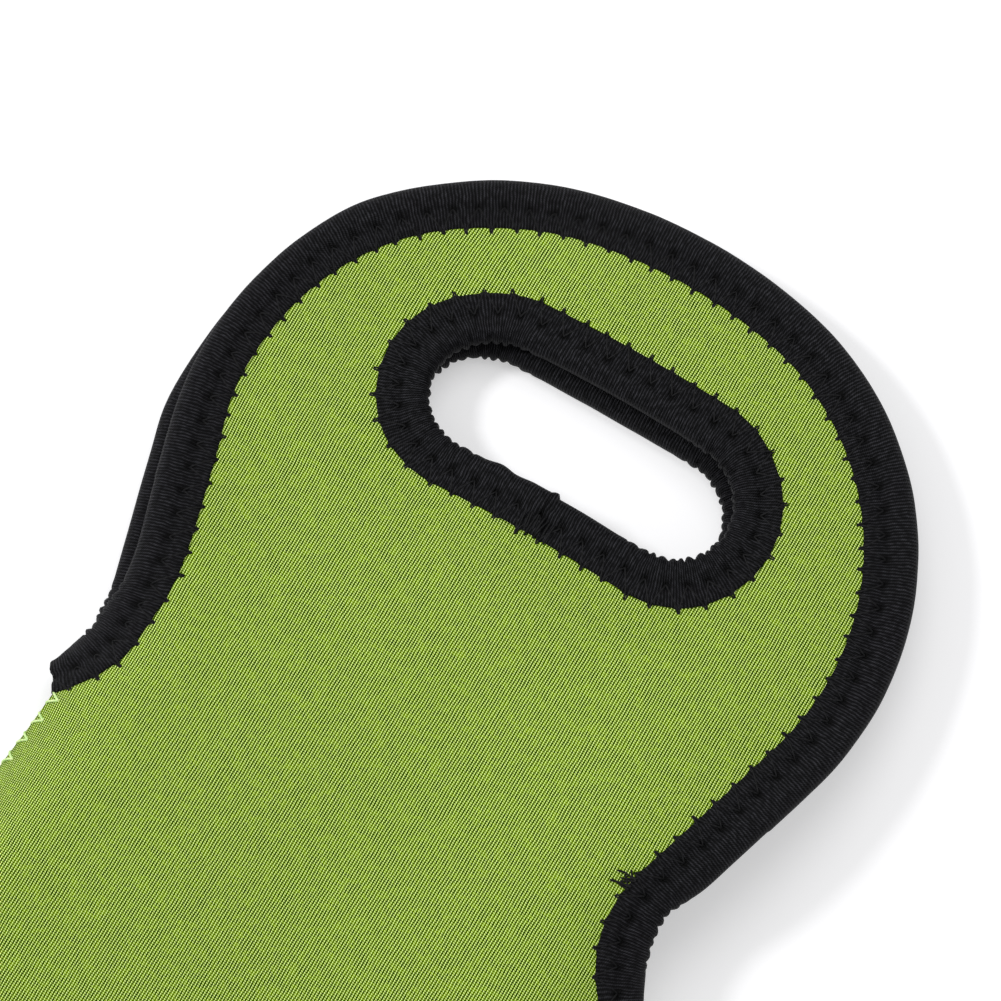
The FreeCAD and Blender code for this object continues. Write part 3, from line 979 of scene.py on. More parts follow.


# In the knits, light is the painted highlight on the loops' crests and deep the painted shade in the gaps.
GREEN_KNIT = KnitFinish(name="green_knit", dark=srgb(170, 210, 0), light=srgb(238, 255, 177), deep=srgb(0, 43, 0))
BLACK_LINING = KnitFinish(name="black_lining", dark=srgb(28, 28, 30), light=srgb(44, 44, 46), deep=srgb(10, 10, 11))
# On the tape, light is the painted highlight on the rib crests and deep the painted shade in the needle holes.
BLACK_TAPE = TapeFinish(name="black_tape", dark=srgb(2, 2, 3), light=srgb(68, 68, 73), deep=srgb(1, 1, 1))
BLACK_THREAD = ThreadFinish(name="black_thread", dark=srgb(7, 7, 8), light=srgb(27, 27, 29))
GREEN_THREAD = ThreadFinish(name="green_thread", dark=srgb(192, 238, 142), light=srgb(242, 255, 192))
BLACK_FOAM = FoamFinish(name="black_foam", dark=srgb(20, 20, 20), light=srgb(34, 34, 34))


# Pieces


def add_object(name: str, data: bpy.types.ID) -> bpy.types.Object:
    """Put new data into the scene as an object at the origin.

    Args:
        name: Name of the object.
        data: Mesh, curve, camera or light.

    Returns:
        The new object.
    """
    made = bpy.data.objects.new(name, data)
    bpy.context.scene.collection.objects.link(made)
    return made


def final_mesh(made: bpy.types.Object) -> bpy.types.Mesh:
    """Mesh of an object once its curve or its modifiers are worked out."""
    graph = bpy.context.evaluated_depsgraph_get()
    return bpy.data.meshes.new_from_object(made.evaluated_get(graph), depsgraph=graph)


@dataclass
class Workshop:
    """Makes objects out of meshes and gives them their finish."""

    materials: dict[str, bpy.types.Material] = field(default_factory=dict)

    def finish(self, finish: Finish) -> bpy.types.Material:
        """Make a finish's material once and hand it out again after that.

        Args:
            finish: Finish to use.

        Returns:
            Its material.
        """
        if finish.name not in self.materials:
            self.materials[finish.name] = finish.material()
        return self.materials[finish.name]

    def piece(self, name: str, shape: bmesh.types.BMesh, finish: Finish) -> bpy.types.Object:
        """Turn a bmesh into a finished object.

        Args:
            name: Name of the piece.
            shape: Mesh in metres, in the part's frame. It is freed.
            finish: Finish of the whole piece.

        Returns:
            The new object.
        """
        mesh = bpy.data.meshes.new(name)
        shape.to_mesh(mesh)
        shape.free()
        mesh.shade_smooth()
        return self.from_mesh(name, mesh, finish)

    def from_mesh(self, name: str, mesh: bpy.types.Mesh, finish: Finish) -> bpy.types.Object:
        """Turn a mesh into a finished object.

        Args:
            name: Name of the piece.
            mesh: Mesh in metres, in the part's frame.
            finish: Finish of the whole piece.

        Returns:
            The new object.
        """
        made = add_object(name, mesh)
        mesh.materials.clear()
        mesh.materials.append(self.finish(finish))
        LOG.info("made %s with %d faces", name, len(mesh.polygons))
        return made

    def apply_modifiers(self, made: bpy.types.Object) -> None:
        """Work the object's modifiers into its mesh.

        Args:
            made: Object that keeps the worked mesh.
        """
        old, mesh = made.data, final_mesh(made)
        made.modifiers.clear()
        made.data = mesh
        bpy.data.meshes.remove(old)
        mesh.name = made.name

    def thread(self, name: str, runs: list[list[Vector]], radius: float, finish: Finish) -> bpy.types.Object:
        """Sew threads along rows of points.

        Args:
            name: Name of the piece.
            runs: Points of each thread in metres, in the part's frame.
            radius: Radius of the thread in metres.
            finish: Finish of the thread.

        Returns:
            The new object.
        """
        curve = bpy.data.curves.new(f"{name}_line", "CURVE")
        curve.dimensions = "3D"
        curve.bevel_depth = radius
        curve.bevel_resolution = 1
        curve.resolution_u = 2
        curve.use_fill_caps = True
        for points in runs:
            spline = curve.splines.new("NURBS")
            spline.points.add(len(points) - 1)
            for target, point in zip(spline.points, points):
                target.co = (*point, 1.0)
            spline.order_u = 3
            spline.use_endpoint_u = True
        line = add_object(f"{name}_line", curve)
        mesh = final_mesh(line)
        mesh.name = name
        mesh.shade_smooth()
        bpy.data.objects.remove(line)
        bpy.data.curves.remove(curve)
        return self.from_mesh(name, mesh, finish)


def bend_at_fold(made: bpy.types.Object, side: Side) -> None:
    """Work a piece's placement into its mesh.

    Args:
        made: Finished piece.
        side: Panel that it belongs to; not used.
    """
    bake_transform(made)


@dataclass(frozen=True)
class Grid:
    """How finely a panel's flat cut is divided, with the steps between its rows in millimetres."""

    columns: int
    row_step: float
    head_step: float
    fold_step: float = 0.8


FINE_GRID = Grid(72, 1.15, 1.8)
INNER_GRID = Grid(56, 2.3, 2.6)


@dataclass
class Panel:
    """One panel of the carrier, cut flat, bent over the pouch and carried on into its handle head."""

    side: Side
    grid: Grid = FINE_GRID
    fold_band: float = 14.0
    top: float = 46.0
    ripple: float = 0.22
    pouch_ripple: float = 2.6
    rows: list[float] = field(default_factory=list)
    flat_area: float = 0.0

    def section(self, y: float) -> RimSection:
        """Border of this panel at a height."""
        return POUCH.section(self.side, y)

    def level(self, y: float) -> float:
        """Height of the panel's outer face where it is level."""
        return POUCH.plane(y) if self.side is Side.FRONT else POUCH.back_level(y)

    def lay_out(self) -> None:
        """Choose the rows of the flat cut, from the bottom seam to the crown."""
        lowest = POUCH.bottom_y - self.section(POUCH.corner_y).spare
        top = POUCH.slot_y + self.top
        low, high = POUCH.fold_y - self.fold_band, POUCH.fold_y + self.fold_band
        grid = self.grid
        bands = ((lowest, low, grid.row_step), (low, high, grid.fold_step), (high, top, grid.head_step))
        self.rows = [top]
        for start, end, step in bands:
            count = round((end - start) / step)
            self.rows += [start + (end - start) * index / count for index in range(count)]
        self.rows.sort()

    def half_cut(self, y: float) -> float:
        """Half the width of the flat cut at one of its rows.

        Args:
            y: Place of the row along the cut.

        Returns:
            Half width in millimetres.
        """
        section = self.section(max(y, POUCH.corner_y))
        below = POUCH.corner_y - y
        if below <= 0:
            return half_plan(y) + section.spare
        radius = POUCH.corner + section.spare
        return POUCH.corner_x + math.sqrt(max(radius**2 - below**2, 0.0))

    def sewn(self, x: float, y: float) -> Vector:
        """Place a point of the flat cut on the sewn carrier.

        Args:
            x: Place across the cut.
            y: Place along the cut.

        Returns:
            Point of the outer face, in millimetres.
        """
        base_y = max(y, POUCH.corner_y)
        section = self.section(base_y)
        beside = abs(x) - POUCH.corner_x
        below = POUCH.corner_y - y
        if below > 0:
            reach = math.hypot(max(beside, 0.0), below)
            inset, drop = section.place(POUCH.corner + section.spare - reach)
            scale = (POUCH.corner - inset) / reach
            plan_x = abs(x) if beside <= 0 else POUCH.corner_x + beside * scale
            plan_y = POUCH.corner_y - below * scale
        else:
            inset, drop = section.place(half_plan(y) + section.spare - abs(x))
            plan_x = half_plan(y) - inset
            plan_y = y
        plan_x *= 1.0 if x >= 0 else -1.0
        if self.side is Side.BACK:
            return Vector((plan_x, plan_y, self.level(plan_y) + drop)) + POUCH.drift(plan_x, plan_y)
        share = 1.0 - drop / section.drop if section.drop > 0.01 else 1.0
        height = self.level(base_y) - drop + (self.level(plan_y) - self.level(base_y)) * share
        height += self.wave(plan_x, plan_y)
        return Vector((plan_x, plan_y, height)) + POUCH.lean(plan_x, plan_y)

    def wave(self, x: float, y: float) -> float:
        """Slight unevenness of the cloth, which dies out at its borders.

        Args:
            x: Place across the part.
            y: Place along the part.

        Returns:
            Rise in millimetres.
        """
        soft = noise.noise(Vector((x * 0.021, y * 0.017, 3.7)))
        fade = smooth(0, 14, half_plan(round(min(max(y, -160.0), POUCH.slot_y + 40))) - abs(x))
        return self.ripple * soft * fade * (1.0 if y > POUCH.fold_y else self.pouch_ripple)

    def surface(self) -> bmesh.types.BMesh:
        """Outer face of the panel, with the slot cut out.

        Returns:
            Open mesh in millimetres, with the flat cut as its chart.
        """
        self.lay_out()
        shape = bmesh.new()
        last = len(self.rows) - 1
        bmesh.ops.create_grid(shape, x_segments=self.grid.columns, y_segments=last, size=1.0)
        flat: dict[bmesh.types.BMVert, tuple[float, float]] = {}
        for vert in shape.verts:
            y = self.rows[round((vert.co.y + 1.0) / 2.0 * last)]
            flat[vert] = (vert.co.x * self.half_cut(y), y)
            vert.co = (*flat[vert], 0.0)
        self.flat_area = sum(face.calc_area() for face in shape.faces)
        slot_y = POUCH.slot_y
        inside = [
            face for face in shape.faces
            if HEAD.slot_distance(face.calc_center_median().x, face.calc_center_median().y - slot_y) < HIDDEN_EDGE
        ]
        self.flat_area -= sum(face.calc_area() for face in inside)
        bmesh.ops.delete(shape, geom=inside, context="FACES")
        for vert in shape.verts:
            x, y = flat[vert]
            if vert.is_boundary and HEAD.slot_distance(x, y - slot_y) < HIDDEN_EDGE + 4.0:
                near_x, near_y = HEAD.onto_slot(x, y - slot_y, HIDDEN_EDGE)
                flat[vert] = (near_x, near_y + slot_y)
        chart = shape.loops.layers.uv.new("UVMap")
        for vert, (x, y) in flat.items():
            if not vert.is_valid:
                continue
            bowed = y + HEAD.slot_arch(self.side, x, y - slot_y) if y > POUCH.fold_y else y
            vert.co = self.sewn(x, y)
            vert.co.y += bowed - y
            for loop in vert.link_loops:
                loop[chart].uv = (x * MM, bowed * MM)
        if self.side is Side.BACK:
            bmesh.ops.reverse_faces(shape, faces=shape.faces)
        shape.normal_update()
        return shape

    def build(self, shop: Workshop) -> None:
        """Make the panel's three plies.

        Args:
            shop: Workshop that makes the pieces.
        """
        finishes = {Ply.KNIT: GREEN_KNIT, Ply.FOAM: BLACK_FOAM, Ply.LINING: BLACK_LINING}
        side = self.side.value
        for ply, finish in finishes.items():
            name, depth, thickness = ply.value
            self.grid = FINE_GRID if ply is Ply.KNIT else INNER_GRID
            shape = self.surface()
            for vert in shape.verts:
                vert.co -= vert.normal * depth
            bmesh.ops.scale(shape, vec=(MM, MM, MM), verts=shape.verts)
            made = shop.piece(f"{side}_panel_{name}", shape, finish)
            wall = made.modifiers.new("thickness", "SOLIDIFY")
            wall.thickness = thickness * MM
            wall.offset = -1.0
            wall.use_even_offset = True
            shop.apply_modifiers(made)
            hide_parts(f"{side}_body_{name}", f"{side}_handle_{name}")
            bend_at_fold(made, self.side)
            if ply is Ply.FOAM:
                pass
            else:
                width = 2.0 * max(self.half_cut(y) for y in self.rows) * MM


@dataclass
class Binding:
    """Tape folded over an edge of a handle head and held by a row of zigzag stitches."""

    side: Side
    label: str
    run: EdgeRun
    closed: bool
    gather_at: Callable[[float], float]
    cover: float = 10.2
    roll_out: float = 0.45
    step: float = 0.62
    gather_pitch: float = 2.6
    gather_depth: float = 0.5
    stitch_pitch: float = 4.8
    needle_gap: float = 4.2
    bite: float = 1.1
    left_pull: float = 0.0
    left_tuck: float = 0.0
    right_tuck: float = 0.0
    thread_radius: float = 0.19
    seed: int = 7
    panel: float = 3.4
    lining_gap: float = 0.03
    least_cover: float = 0.14
    lap_from: float = -1.6
    lap_rise: float = 0.4

    upper: tuple[tuple[float, float], ...] = (
        (1.0, 0.2), (0.985, 0.4), (0.94, 0.55), (0.87, 0.64), (0.79, 0.68), (0.72, 0.66), (0.66, 0.6),
        (0.61, 0.54), (0.57, 0.54), (0.52, 0.64), (0.45, 0.86), (0.36, 1.06), (0.275, 1.08),
    )

    @property
    def needle_row(self) -> float:
        """Distance of the needle holes inside the bound edge."""
        return self.cover - self.needle_gap

    @property
    def stitch_count(self) -> int:
        """Number of whole stitches in the run."""
        return round(self.run.length / self.stitch_pitch)

    @property
    def pitch(self) -> float:
        """Length of one stitch when whole stitches fill the run."""
        return self.run.length / self.stitch_count

    def profile(self) -> list[tuple[float, float]]:
        """Closed cross-section of the folded tape as distance inside the edge and height over the panel.

        Returns:
            Corners of the section, once round.
        """
        middle, depth, rise = -self.panel / 2, 2.35, 2.72
        upper = [(share * self.cover, height) for share, height in self.upper]
        roll = []
        for step in range(9):
            angle = math.radians(76.0 - 19.0 * step)
            roll.append((depth - (depth + self.roll_out) * math.cos(angle), middle + rise * math.sin(angle)))
        lower = [(across, -self.panel - height) for across, height in reversed(upper)]
        stops = (self.cover - 0.02, 5.0, 1.5)
        inner = [(across, -self.panel - self.lining_gap) for across in stops]
        inner += [(across, self.lining_gap) for across in reversed(stops)]
        return [*upper, *roll, *lower, *inner]

    def from_lap(self, along: float) -> float:
        """Distance past the place where the two ends of a closed tape overlap."""
        return along if along < self.run.length / 2 else along - self.run.length

    def pleat(self, along: float) -> float:
        """Scallop of the gathered edge, from -1 in a crease to 1 on a fold.

        Args:
            along: Distance along the stitching.

        Returns:
            Scallop, with a size of its own in each fold.
        """
        turn = along / self.gather_pitch + 0.4 * noise.noise(Vector((along * 0.2, 0.0, self.seed)))
        size = random.Random(self.seed * 1000 + math.floor(turn)).uniform(0.45, 1.3)
        return (2.0 * math.sqrt(abs(math.sin(math.pi * turn))) - 1.0) * size

    def pulled(self, along: float, across: float) -> tuple[float, float]:
        """Shift a point of the tape to where sewing has pulled it.

        Args:
            along: Distance along the stitching.
            across: Distance inside the edge.

        Returns:
            The new distances along and across.
        """
        if self.closed:
            past = self.from_lap(along)
            wave = 0.6 * hump(past, 11.5, 2.4)
            tab = 0.45 * smooth(-1.5, -1.1, past) * smooth(0.6, -0.4, past)
            return along, across - hump(across, 0.0, 4.0) * (wave + tab)
        left, right = self.run.length - along, along
        share = across / self.cover
        across *= 0.72 + 0.28 * smooth(0, 9, left)
        across -= self.left_pull * (hump(left, 20, 10) + 0.6 * hump(left, 8, 5))
        for tuck, end in ((self.left_tuck, left), (self.right_tuck, right)):
            across += tuck * (1.0 - 0.4 * share) * hump(end, 14, 11)
            across += tuck * (1.0 - share) * (smooth(10, 0, end) + 0.8 * hump(end, 25, 6))
        ragged = 1.5 * share + 0.5 * noise.noise(Vector((across * 0.9, 0.0, self.seed)))
        along += math.copysign(ragged * smooth(6, 0, min(left, right)), right - left)
        return along, across

    def shaped(self, along: float, across: float, height: float) -> tuple[float, float, float]:
        """Pull the tape's cross-section into gathers and stitch dimples.

        Args:
            along: Distance along the stitching.
            across: Distance inside the edge.
            height: Height over the panel's outer face.

        Returns:
            The new distance inside the edge, the new height and the share of painted shade that the point takes in a
            needle hole.
        """
        row, cover = self.needle_row, self.cover
        up = 1.0 if height + self.panel / 2 > 0 else -1.0
        pleat = self.pleat(along) * self.gather_depth * self.gather_at(along)
        near_edge = hump(across, 0.0, 3.2)
        phase = along / self.run.length * self.stitch_count
        to_needle = (phase + 0.5 - math.floor(phase + 0.5) - 0.5) * self.pitch
        to_bite = (phase - math.floor(phase) - 0.5) * self.pitch
        prick = hump(to_needle, 0.0, 0.75) * hump(across, row, 0.85)
        dimple = 0.5 * prick + 0.12 * hump(across, row, 1.1)
        dimple += 0.3 * hump(to_bite, 0.0, 0.8) * hump(across, cover, 0.9)
        dimple += 0.1 * hump(to_bite, 0.0, 0.9) * hump(across, cover - 2.0, 1.6)
        tooth = 0.4 * hump(to_bite, 0.0, 0.5) * hump(across, cover, 0.8)
        soft = noise.noise(Vector((along * 0.13, across * 0.2, self.seed)))
        crease = noise.noise(Vector((along * 0.85, across * 0.16, self.seed + 3.0)))
        crease *= 0.06 + 0.12 * hump(across, row, 2.0)
        height += up * (pleat * 0.45 * near_edge - dimple + crease)
        if across > HIDDEN_EDGE:
            height = max(height, self.least_cover) if up > 0 else min(height, -self.panel - self.least_cover)
        if self.closed:
            past = self.from_lap(along)
            lap = smooth(self.lap_from, -0.8, past) * smooth(9.0, 4.0, past)
            height += up * self.lap_rise * lap
            across -= 0.35 * lap * near_edge
        return across + tooth - pleat * near_edge + 0.1 * soft * near_edge, height, min(1.0, 1.6 * prick)

    def sweep(self) -> bmesh.types.BMesh:
        """Roll a flat strip up into the folded tape and carry it along the run.

        Returns:
            Closed mesh in millimetres, in the head's plane, with along and across as its chart.
        """
        shape = bmesh.new()
        section = self.profile()
        rows, steps = len(section), round(self.run.length / self.step)
        bmesh.ops.create_grid(shape, x_segments=steps, y_segments=rows, size=1.0)
        prick_shade_of = shape.verts.layers.float.new(PRICK_SHADE_LAYER)
        chart = shape.loops.layers.uv.new("UVMap")
        for vert in shape.verts:
            along = (vert.co.x + 1.0) / 2.0 * self.run.length
            across, height = section[round((vert.co.y + 1.0) / 2.0 * rows) % rows]
            over = math.copysign(across, height + self.panel / 2)
            for loop in vert.link_loops:
                loop[chart].uv = (along * MM, over * MM)
            # The needle-hole share is stored as an attribute that paints shade into the tape.
            across, height, vert[prick_shade_of] = self.shaped(along, across, height)
            vert.co = (*self.run.place(*self.pulled(along, across)), height)
        bmesh.ops.remove_doubles(shape, verts=shape.verts, dist=0.002)
        bmesh.ops.holes_fill(shape, edges=[edge for edge in shape.edges if edge.is_boundary], sides=0)
        bmesh.ops.recalc_face_normals(shape, faces=shape.faces)
        return shape

    def settle(self, point: Vector) -> Vector:
        """Let a point of the head's plane follow the bowed slot and the lie of its head.

        Args:
            point: Point in millimetres, which is changed.

        Returns:
            Point where it comes to lie.
        """
        point.y += HEAD.slot_arch(self.side, point.x, point.y)
        part_y = POUCH.slot_y + point.y
        drop, slope = border_bend(self.side, point.x, point.y)
        point.x += math.copysign(1.0, point.x) * point.z * math.sin(slope)
        point.z = point.z * math.cos(slope) - drop
        if self.side is Side.FRONT:
            return point + POUCH.lean(point.x, part_y)
        drift = POUCH.drift(-point.x, part_y)
        return point + Vector((-drift.x, drift.y, POUCH.back_lift - POUCH.back_level(part_y) - drift.z))

    def top_height(self, across: float) -> float:
        """Height of the tape over the panel at a distance inside the edge.

        Args:
            across: Distance inside the edge.

        Returns:
            Height, or 0 beside the tape.
        """
        share = across / self.cover
        for (far, far_z), (near, near_z) in zip(self.upper, self.upper[1:]):
            if far >= share >= near:
                return far_z + (near_z - far_z) * (far - share) / (far - near)
        return 0.0

    def on_tape(self, along: float, across: float, lift: float, outer: bool) -> Vector:
        """Find a point of the sewing.

        Args:
            along: Distance along the stitching.
            across: Distance inside the edge.
            lift: Distance over the tape or the panel.
            outer: Whether the point is on the outer face.

        Returns:
            Point in the head's plane, in millimetres.
        """
        height = self.top_height(across) + lift
        if self.closed and self.lap_from < self.from_lap(along) < 6.5:
            height += 0.3
        place = self.run.place(*self.pulled(along, across))
        return Vector((*place, height if outer else -self.panel - height))

    def zigzag(self, outer: bool) -> list[Vector]:
        """Points of the zigzag thread on one face of the head, in the head's plane.

        Args:
            outer: Whether this is the outer face.

        Returns:
            Points in millimetres.
        """
        wobble = random.Random(self.seed + (0 if outer else 50))
        row, cover = self.needle_row, self.cover
        points = []
        for index in range(self.stitch_count):
            needle, bite = index * self.pitch, (index + 0.5) * self.pitch + wobble.uniform(-0.35, 0.35)
            tip = cover + self.bite + wobble.uniform(-0.35, 0.3)
            later = needle + self.pitch
            stops = (
                (needle + 0.08, row, -0.5), (needle + 0.3, row + 0.5, -0.16), ((needle + bite) / 2, row + 2.0, -0.1),
                (bite - 0.4, cover - 0.35, -0.06), (bite - 0.24, cover + 0.08, 0.1), (bite - 0.2, tip - 0.16, 0.05),
                (bite, tip, -0.4), (bite + 0.14, tip - 0.3, 0.05), (bite + 0.2, cover + 0.08, 0.1),
                (bite + 0.4, cover - 0.35, -0.06), ((bite + later) / 2, row + 2.0, -0.1),
                (later - 0.3, row + 0.5, -0.16), (later - 0.08, row, -0.5),
            )
            points += [self.on_tape(*stop, outer) for stop in stops]
        return points

    def lock_stitches(self, wobble: random.Random) -> list[list[Vector]]:
        """Stitches on the outer face that lock the lap of a closed tape.

        Args:
            wobble: Source of the stitches' unevenness.

        Returns:
            Points of each stitch in the head's plane, in millimetres.
        """
        runs = []
        for index in range(9):
            start = -3.4 + 0.8 * index + wobble.uniform(-0.3, 0.3)
            skew = wobble.uniform(-0.9, 0.9)
            reach = self.cover + wobble.uniform(-1.2, 0.7) - self.needle_row
            runs.append([
                self.on_tape((start + skew * share) % self.run.length, self.needle_row + reach * share, lift, True)
                for share, lift in ((0.0, -0.3), (0.2, 0.12), (0.5, 0.18), (0.8, 0.14), (1.0, -0.3))
            ])
        return runs

    def loose_ends(self, wobble: random.Random) -> list[list[Vector]]:
        """Thread ends that stand out over the knit at the right waist of an open tape.

        Args:
            wobble: Source of the ends' unevenness.

        Returns:
            Points of each end in the head's plane, in millimetres.
        """
        middle, tucked = 24.3, 0.6
        runs = []
        for _ in range(8):
            start = middle + wobble.uniform(-1.3, 1.3)
            reach, skew = wobble.uniform(1.6, 4.4), wobble.uniform(-1.6, 1.2)
            runs.append([
                self.on_tape(start + skew * share + wobble.uniform(-0.2, 0.2),
                             self.cover - tucked + (reach + tucked) * share, 0.15 + 0.5 * share * (1.2 - share), True)
                for share in (0.0, 0.25, 0.5, 0.75, 1.0)
            ])
        return runs

    def build(self, shop: Workshop) -> None:
        """Make the tape and its stitching; those of the slot are tied to the handle.

        Args:
            shop: Workshop that makes the pieces.
        """
        side = self.side.value
        place = head_place(self.side)
        shape = self.sweep()
        for vert in shape.verts:
            vert.co = self.settle(vert.co.copy())
        bmesh.ops.transform(shape, matrix=place, verts=shape.verts)
        tape = shop.piece(f"{side}_{self.label}_tape", shape, BLACK_TAPE)
        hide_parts(f"{side}_{self.label}_binding")
        self.tie(tape)
        extra = self.lock_stitches if self.closed else self.loose_ends
        runs = [self.zigzag(True), self.zigzag(False), *extra(random.Random(self.seed + 90))]
        runs = [[place @ self.settle(point) for point in run] for run in runs]
        thread = shop.thread(f"{side}_{self.label}_zigzag", runs, self.thread_radius * MM, BLACK_THREAD)
        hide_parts(f"{side}_{self.label}_stitching")
        self.tie(thread)

    def tie(self, made: bpy.types.Object) -> None:
        """Let a slot piece move with its head, or else work an edge piece's placement into its mesh.

        Args:
            made: Finished piece.
        """
        if self.closed:
            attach(made, f"{self.side.value}_handle")
        else:
            bend_at_fold(made, self.side)


def edge_gather(along: float) -> float:
    """Share of gathering along a head's outer edge, which bunches up inside the waist.

    Args:
        along: Distance along the stitching.

    Returns:
        Share between 0 and 1.
    """
    from_end = min(along, EDGE_RUN.length - along)
    return smooth(9, 13, from_end) * (1.0 - smooth(24, 32, from_end))


def slot_gather(along: float) -> float:
    """Share of gathering along the slot's edge, which bunches up round both ends.

    Args:
        along: Distance along the stitching.

    Returns:
        Share between 0 and 1.
    """
    half = SLOT_RUN.length / 2
    turn = math.pi * (HEAD.slot_radius + SLOT_RUN.stitch_line)
    from_middle = abs((along % half) - (HEAD.slot_reach + turn / 2))
    return 1.0 - smooth(turn * 0.42, turn * 0.62, from_middle)


@dataclass
class PouchSeam:
    """Zigzag threads that join the two panels edge to edge down both sides and round the bottom."""

    pitch: float = 4.6
    radius: float = 0.25
    top_gap: float = 6.5
    seed: int = 21

    # Share of the pitch, distance from the joint along the cloth and lift over it.
    stitch: tuple[tuple[float, float, float], ...] = (
        (0.0, 0.0, 0.2), (0.1, 0.9, 0.22), (0.2, 2.0, 0.2), (0.24, 2.4, -0.15), (0.26, 2.4, -0.15),
        (0.3, 2.0, 0.2), (0.4, 0.9, 0.22), (0.5, 0.0, 0.2), (0.6, -0.9, 0.22), (0.7, -2.0, 0.2),
        (0.74, -2.4, -0.15), (0.76, -2.4, -0.15), (0.8, -2.0, 0.2), (0.9, -0.9, 0.22),
    )

    def outline(self) -> list[tuple[str, float]]:
        """Names and lengths of the stretches, from the left mouth corner round to the right one.

        Returns:
            Pairs of name and length in millimetres.
        """
        side = POUCH.fold_y - self.top_gap - POUCH.corner_y
        bottom = math.pi * POUCH.corner + 2 * POUCH.corner_x
        return [("left_side", side), ("bottom", bottom), ("right_side", side)]

    def edge(self, stretch: str, along: float) -> tuple[Vector, Vector, float]:
        """Find a point of the pouch's outline.

        Args:
            stretch: Name of the stretch.
            along: Distance along it.

        Returns:
            Point, outward direction, and the height that sets the border's section.
        """
        corner_x, corner_y = POUCH.corner_x, POUCH.corner_y
        if stretch != "bottom":
            hand = -1.0 if stretch == "left_side" else 1.0
            y = POUCH.fold_y - self.top_gap - along if stretch == "left_side" else corner_y + along
            return Vector((hand * POUCH.half_width(y), y, 0)), Vector((hand, 0, 0)), y
        turn, flat = math.pi / 2 * POUCH.corner, 2 * corner_x
        if turn <= along <= turn + flat:
            return Vector((along - turn - corner_x, POUCH.bottom_y, 0)), Vector((0, -1, 0)), corner_y
        late = along > turn
        angle = math.pi + (along - flat if late else along) / POUCH.corner
        outward = Vector((math.cos(angle), math.sin(angle), 0))
        centre = Vector((corner_x if late else -corner_x, corner_y, 0))
        return centre + outward * POUCH.corner, outward, corner_y

    def point(self, stretch: str, along: float, cloth: float, lift: float) -> Vector:
        """Find a point near the seam.

        Args:
            stretch: Name of the stretch.
            along: Distance along it.
            cloth: Distance along the cloth from the joint, positive on the front panel.
            lift: Distance outside the cloth.

        Returns:
            Point in metres.
        """
        edge, outward, y = self.edge(stretch, along)
        front, small_step = cloth >= 0, 0.05
        section = POUCH.section(Side.FRONT if front else Side.BACK, y)
        inset, drop = section.place(abs(cloth))
        later_inset, later_drop = section.place(abs(cloth) + small_step)
        run_in, rise = later_inset - inset, drop - later_drop
        size = math.hypot(run_in, rise)
        foot = edge - outward * inset
        foot.z = POUCH.plane(y) - drop if front else drop
        foot += POUCH.prop(Side.FRONT, foot.x, foot.y)
        up = 1.0 if front else -1.0
        normal = outward * (rise / size) + Vector((0, 0, up * run_in / size))
        return (foot + normal * lift) * MM

    def build(self, shop: Workshop) -> None:
        """Make the three threads and tie them to the pouch.

        Args:
            shop: Workshop that makes the pieces.
        """
        wobble = random.Random(self.seed)
        for stretch, length in self.outline():
            count = round(length / self.pitch)
            pitch = length / count
            points = [
                self.point(stretch, (index + share) * pitch + wobble.uniform(-0.06, 0.06), cloth, lift)
                for index in range(count) for share, cloth, lift in self.stitch
            ]
            made = shop.thread(f"{stretch}_thread", [points], self.radius * MM, GREEN_THREAD)
            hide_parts(f"{stretch}_seam")
            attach(made, "pouch")


# Studio


@dataclass(frozen=True)
class Lamp:
    """A soft round lamp: its direction as right, up and back of the picture, with metres and watts."""

    name: str
    direction: tuple[float, float, float]
    reach: float
    power: float
    size: float = 0.3


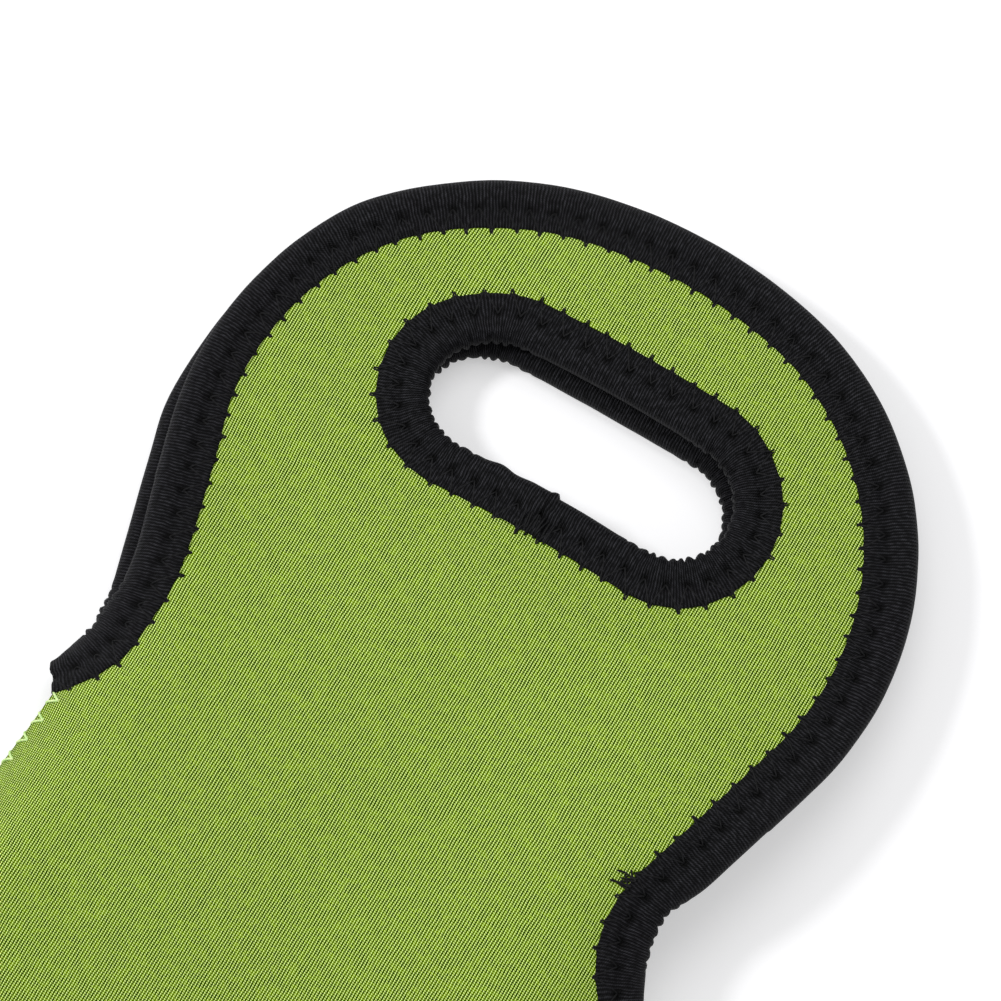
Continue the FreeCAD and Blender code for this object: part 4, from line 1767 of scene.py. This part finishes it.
@dataclass
class Studio:
    """Pale floor, even light from all round, a key lamp from the upper left, a fill lamp and the camera."""

    azimuth: float = 30.73
    elevation: float = 73.0
    focal_pixels: float = 5000.0
    image: float = 1001.0
    distance: float = 0.962
    aim: tuple[float, float, float] = (-8.0, -16.7, 0.8)
    lit_place: tuple[float, float, float] = (0.0, 0.12, 0.01)
    ambient: float = 0.5
    floor_half: float = 6.0
    floor_z: float = -0.0004
    floor_colour: Colour = (0.74, 0.74, 0.755, 1.0)
    floor_glow: float = 0.41
    lamps: tuple[Lamp, ...] = (
        Lamp("key_lamp", (-0.8, 0.45, 0.75), reach=1.6, power=11.0),
        Lamp("fill_lamp", (0.05, 0.26, 0.35), reach=0.44, power=0.48),
    )

    def camera_frame(self) -> Matrix:
        """Turn of the camera in the part's frame, worked out in the plane of the front head.

        Returns:
            Matrix whose columns are right, up and back of the picture.
        """
        turn, rise = math.radians(self.azimuth), math.radians(self.elevation)
        back = Vector((math.sin(turn) * math.cos(rise), -math.cos(turn) * math.cos(rise), math.sin(rise)))
        right = Vector((math.cos(turn), math.sin(turn), 0.0))
        up = back.cross(right)
        local = Matrix((right, up, back)).transposed()
        return Matrix.Rotation(-POUCH.tilt, 3, "X") @ local

    def camera(self) -> None:
        """Set up the camera at the viewing angle."""
        data = bpy.data.cameras.new("camera")
        data.sensor_width = 36.0
        data.lens = self.focal_pixels / self.image * data.sensor_width
        camera = add_object("camera", data)
        turn = self.camera_frame()
        target = head_place(Side.FRONT) @ Vector(self.aim)
        camera.matrix_world = Matrix.Translation(target + turn.col[2] * self.distance) @ turn.to_4x4()
        data.clip_start, data.clip_end = 0.01, 20.0
        bpy.context.scene.camera = camera

    def floor(self) -> None:
        """Lay a wide pale floor that keeps the shadow."""
        shape = bmesh.new()
        bmesh.ops.create_grid(shape, x_segments=1, y_segments=1, size=self.floor_half)
        bmesh.ops.translate(shape, vec=(0, 0, self.floor_z), verts=shape.verts)
        mesh = bpy.data.meshes.new("floor")
        shape.to_mesh(mesh)
        shape.free()
        material, graph, shader = new_material("pale_floor")
        shader.inputs["Base Color"].default_value = self.floor_colour
        shader.inputs["Roughness"].default_value = 0.9
        shader.inputs["Specular IOR Level"].default_value = 0.0
        rays = graph.add("ShaderNodeLightPath")
        seen = graph.math("MAXIMUM", rays.outputs["Is Camera Ray"], rays.outputs["Is Glossy Ray"])
        seen = graph.math("MAXIMUM", seen, rays.outputs["Is Transmission Ray"])
        strength = graph.math("MULTIPLY", seen, self.floor_glow)
        glow = graph.add("ShaderNodeEmission", Color=(1, 1, 1, 1), Strength=strength)
        both = graph.add("ShaderNodeAddShader")
        graph.feed(both.inputs[0], shader.outputs[0])
        graph.feed(both.inputs[1], glow.outputs[0])
        graph.feed(material.node_tree.nodes["Material Output"].inputs[0], both.outputs[0])
        mesh.materials.append(material)
        add_object("floor", mesh)

    def world(self) -> None:
        """Light the scene evenly from all round and show white behind it."""
        world = bpy.data.worlds.new("studio")
        world.use_nodes = True
        graph = Graph(world.node_tree)
        shader = world.node_tree.nodes["Background"]
        seen = graph.add("ShaderNodeLightPath").outputs["Is Camera Ray"]
        shader.inputs["Color"].default_value = (1.0, 1.0, 1.0, 1.0)
        strength = graph.math("MULTIPLY_ADD", seen, 1.0 - self.ambient, self.ambient)
        graph.feed(shader.inputs["Strength"], strength)
        bpy.context.scene.world = world

    def hang(self, lamp: Lamp) -> None:
        """Hang a lamp that shines at the handle heads.

        Args:
            lamp: Lamp to hang.
        """
        data = bpy.data.lights.new(lamp.name, "AREA")
        data.shape = "DISK"
        data.size = lamp.size
        data.energy = lamp.power
        made = add_object(lamp.name, data)
        towards = (self.camera_frame() @ Vector(lamp.direction)).normalized()
        made.location = Vector(self.lit_place) + towards * lamp.reach
        made.visible_camera = False
        made.rotation_mode = "QUATERNION"
        made.rotation_quaternion = towards.to_track_quat("Z", "Y")

    def build(self) -> None:
        """Set up camera, floor and light."""
        bpy.context.scene.view_settings.view_transform = "Standard"
        self.camera()
        self.floor()
        self.world()
        for lamp in self.lamps:
            self.hang(lamp)


def bindings() -> Iterator[Binding]:
    """The four bound edges, one after the other.

    Returns:
        Bindings, the outer edge before the slot on each side.
    """
    for index, side in enumerate(Side):
        front = side is Side.FRONT
        yield Binding(side, "edge", EDGE_RUN, False, edge_gather, seed=7 + index, left_pull=2.6 if front else 0.0,
                      left_tuck=0.0 if front else 2.2, right_tuck=1.6 if front else 0.0)
        yield Binding(side, "slot", SLOT_RUN, True, slot_gather, cover=9.3, roll_out=0.2, step=0.5,
                      gather_pitch=2.95, seed=17 + index)


def main() -> None:
    """Build the carrier and its studio."""
    logging.basicConfig(level=logging.INFO, format="%(message)s")
    shop = Workshop()
    Studio().build()
    for side in Side:
        Panel(side).build(shop)
    for binding in bindings():
        binding.build(shop)
    PouchSeam().build(shop)


if __name__ == "__main__":
    main()
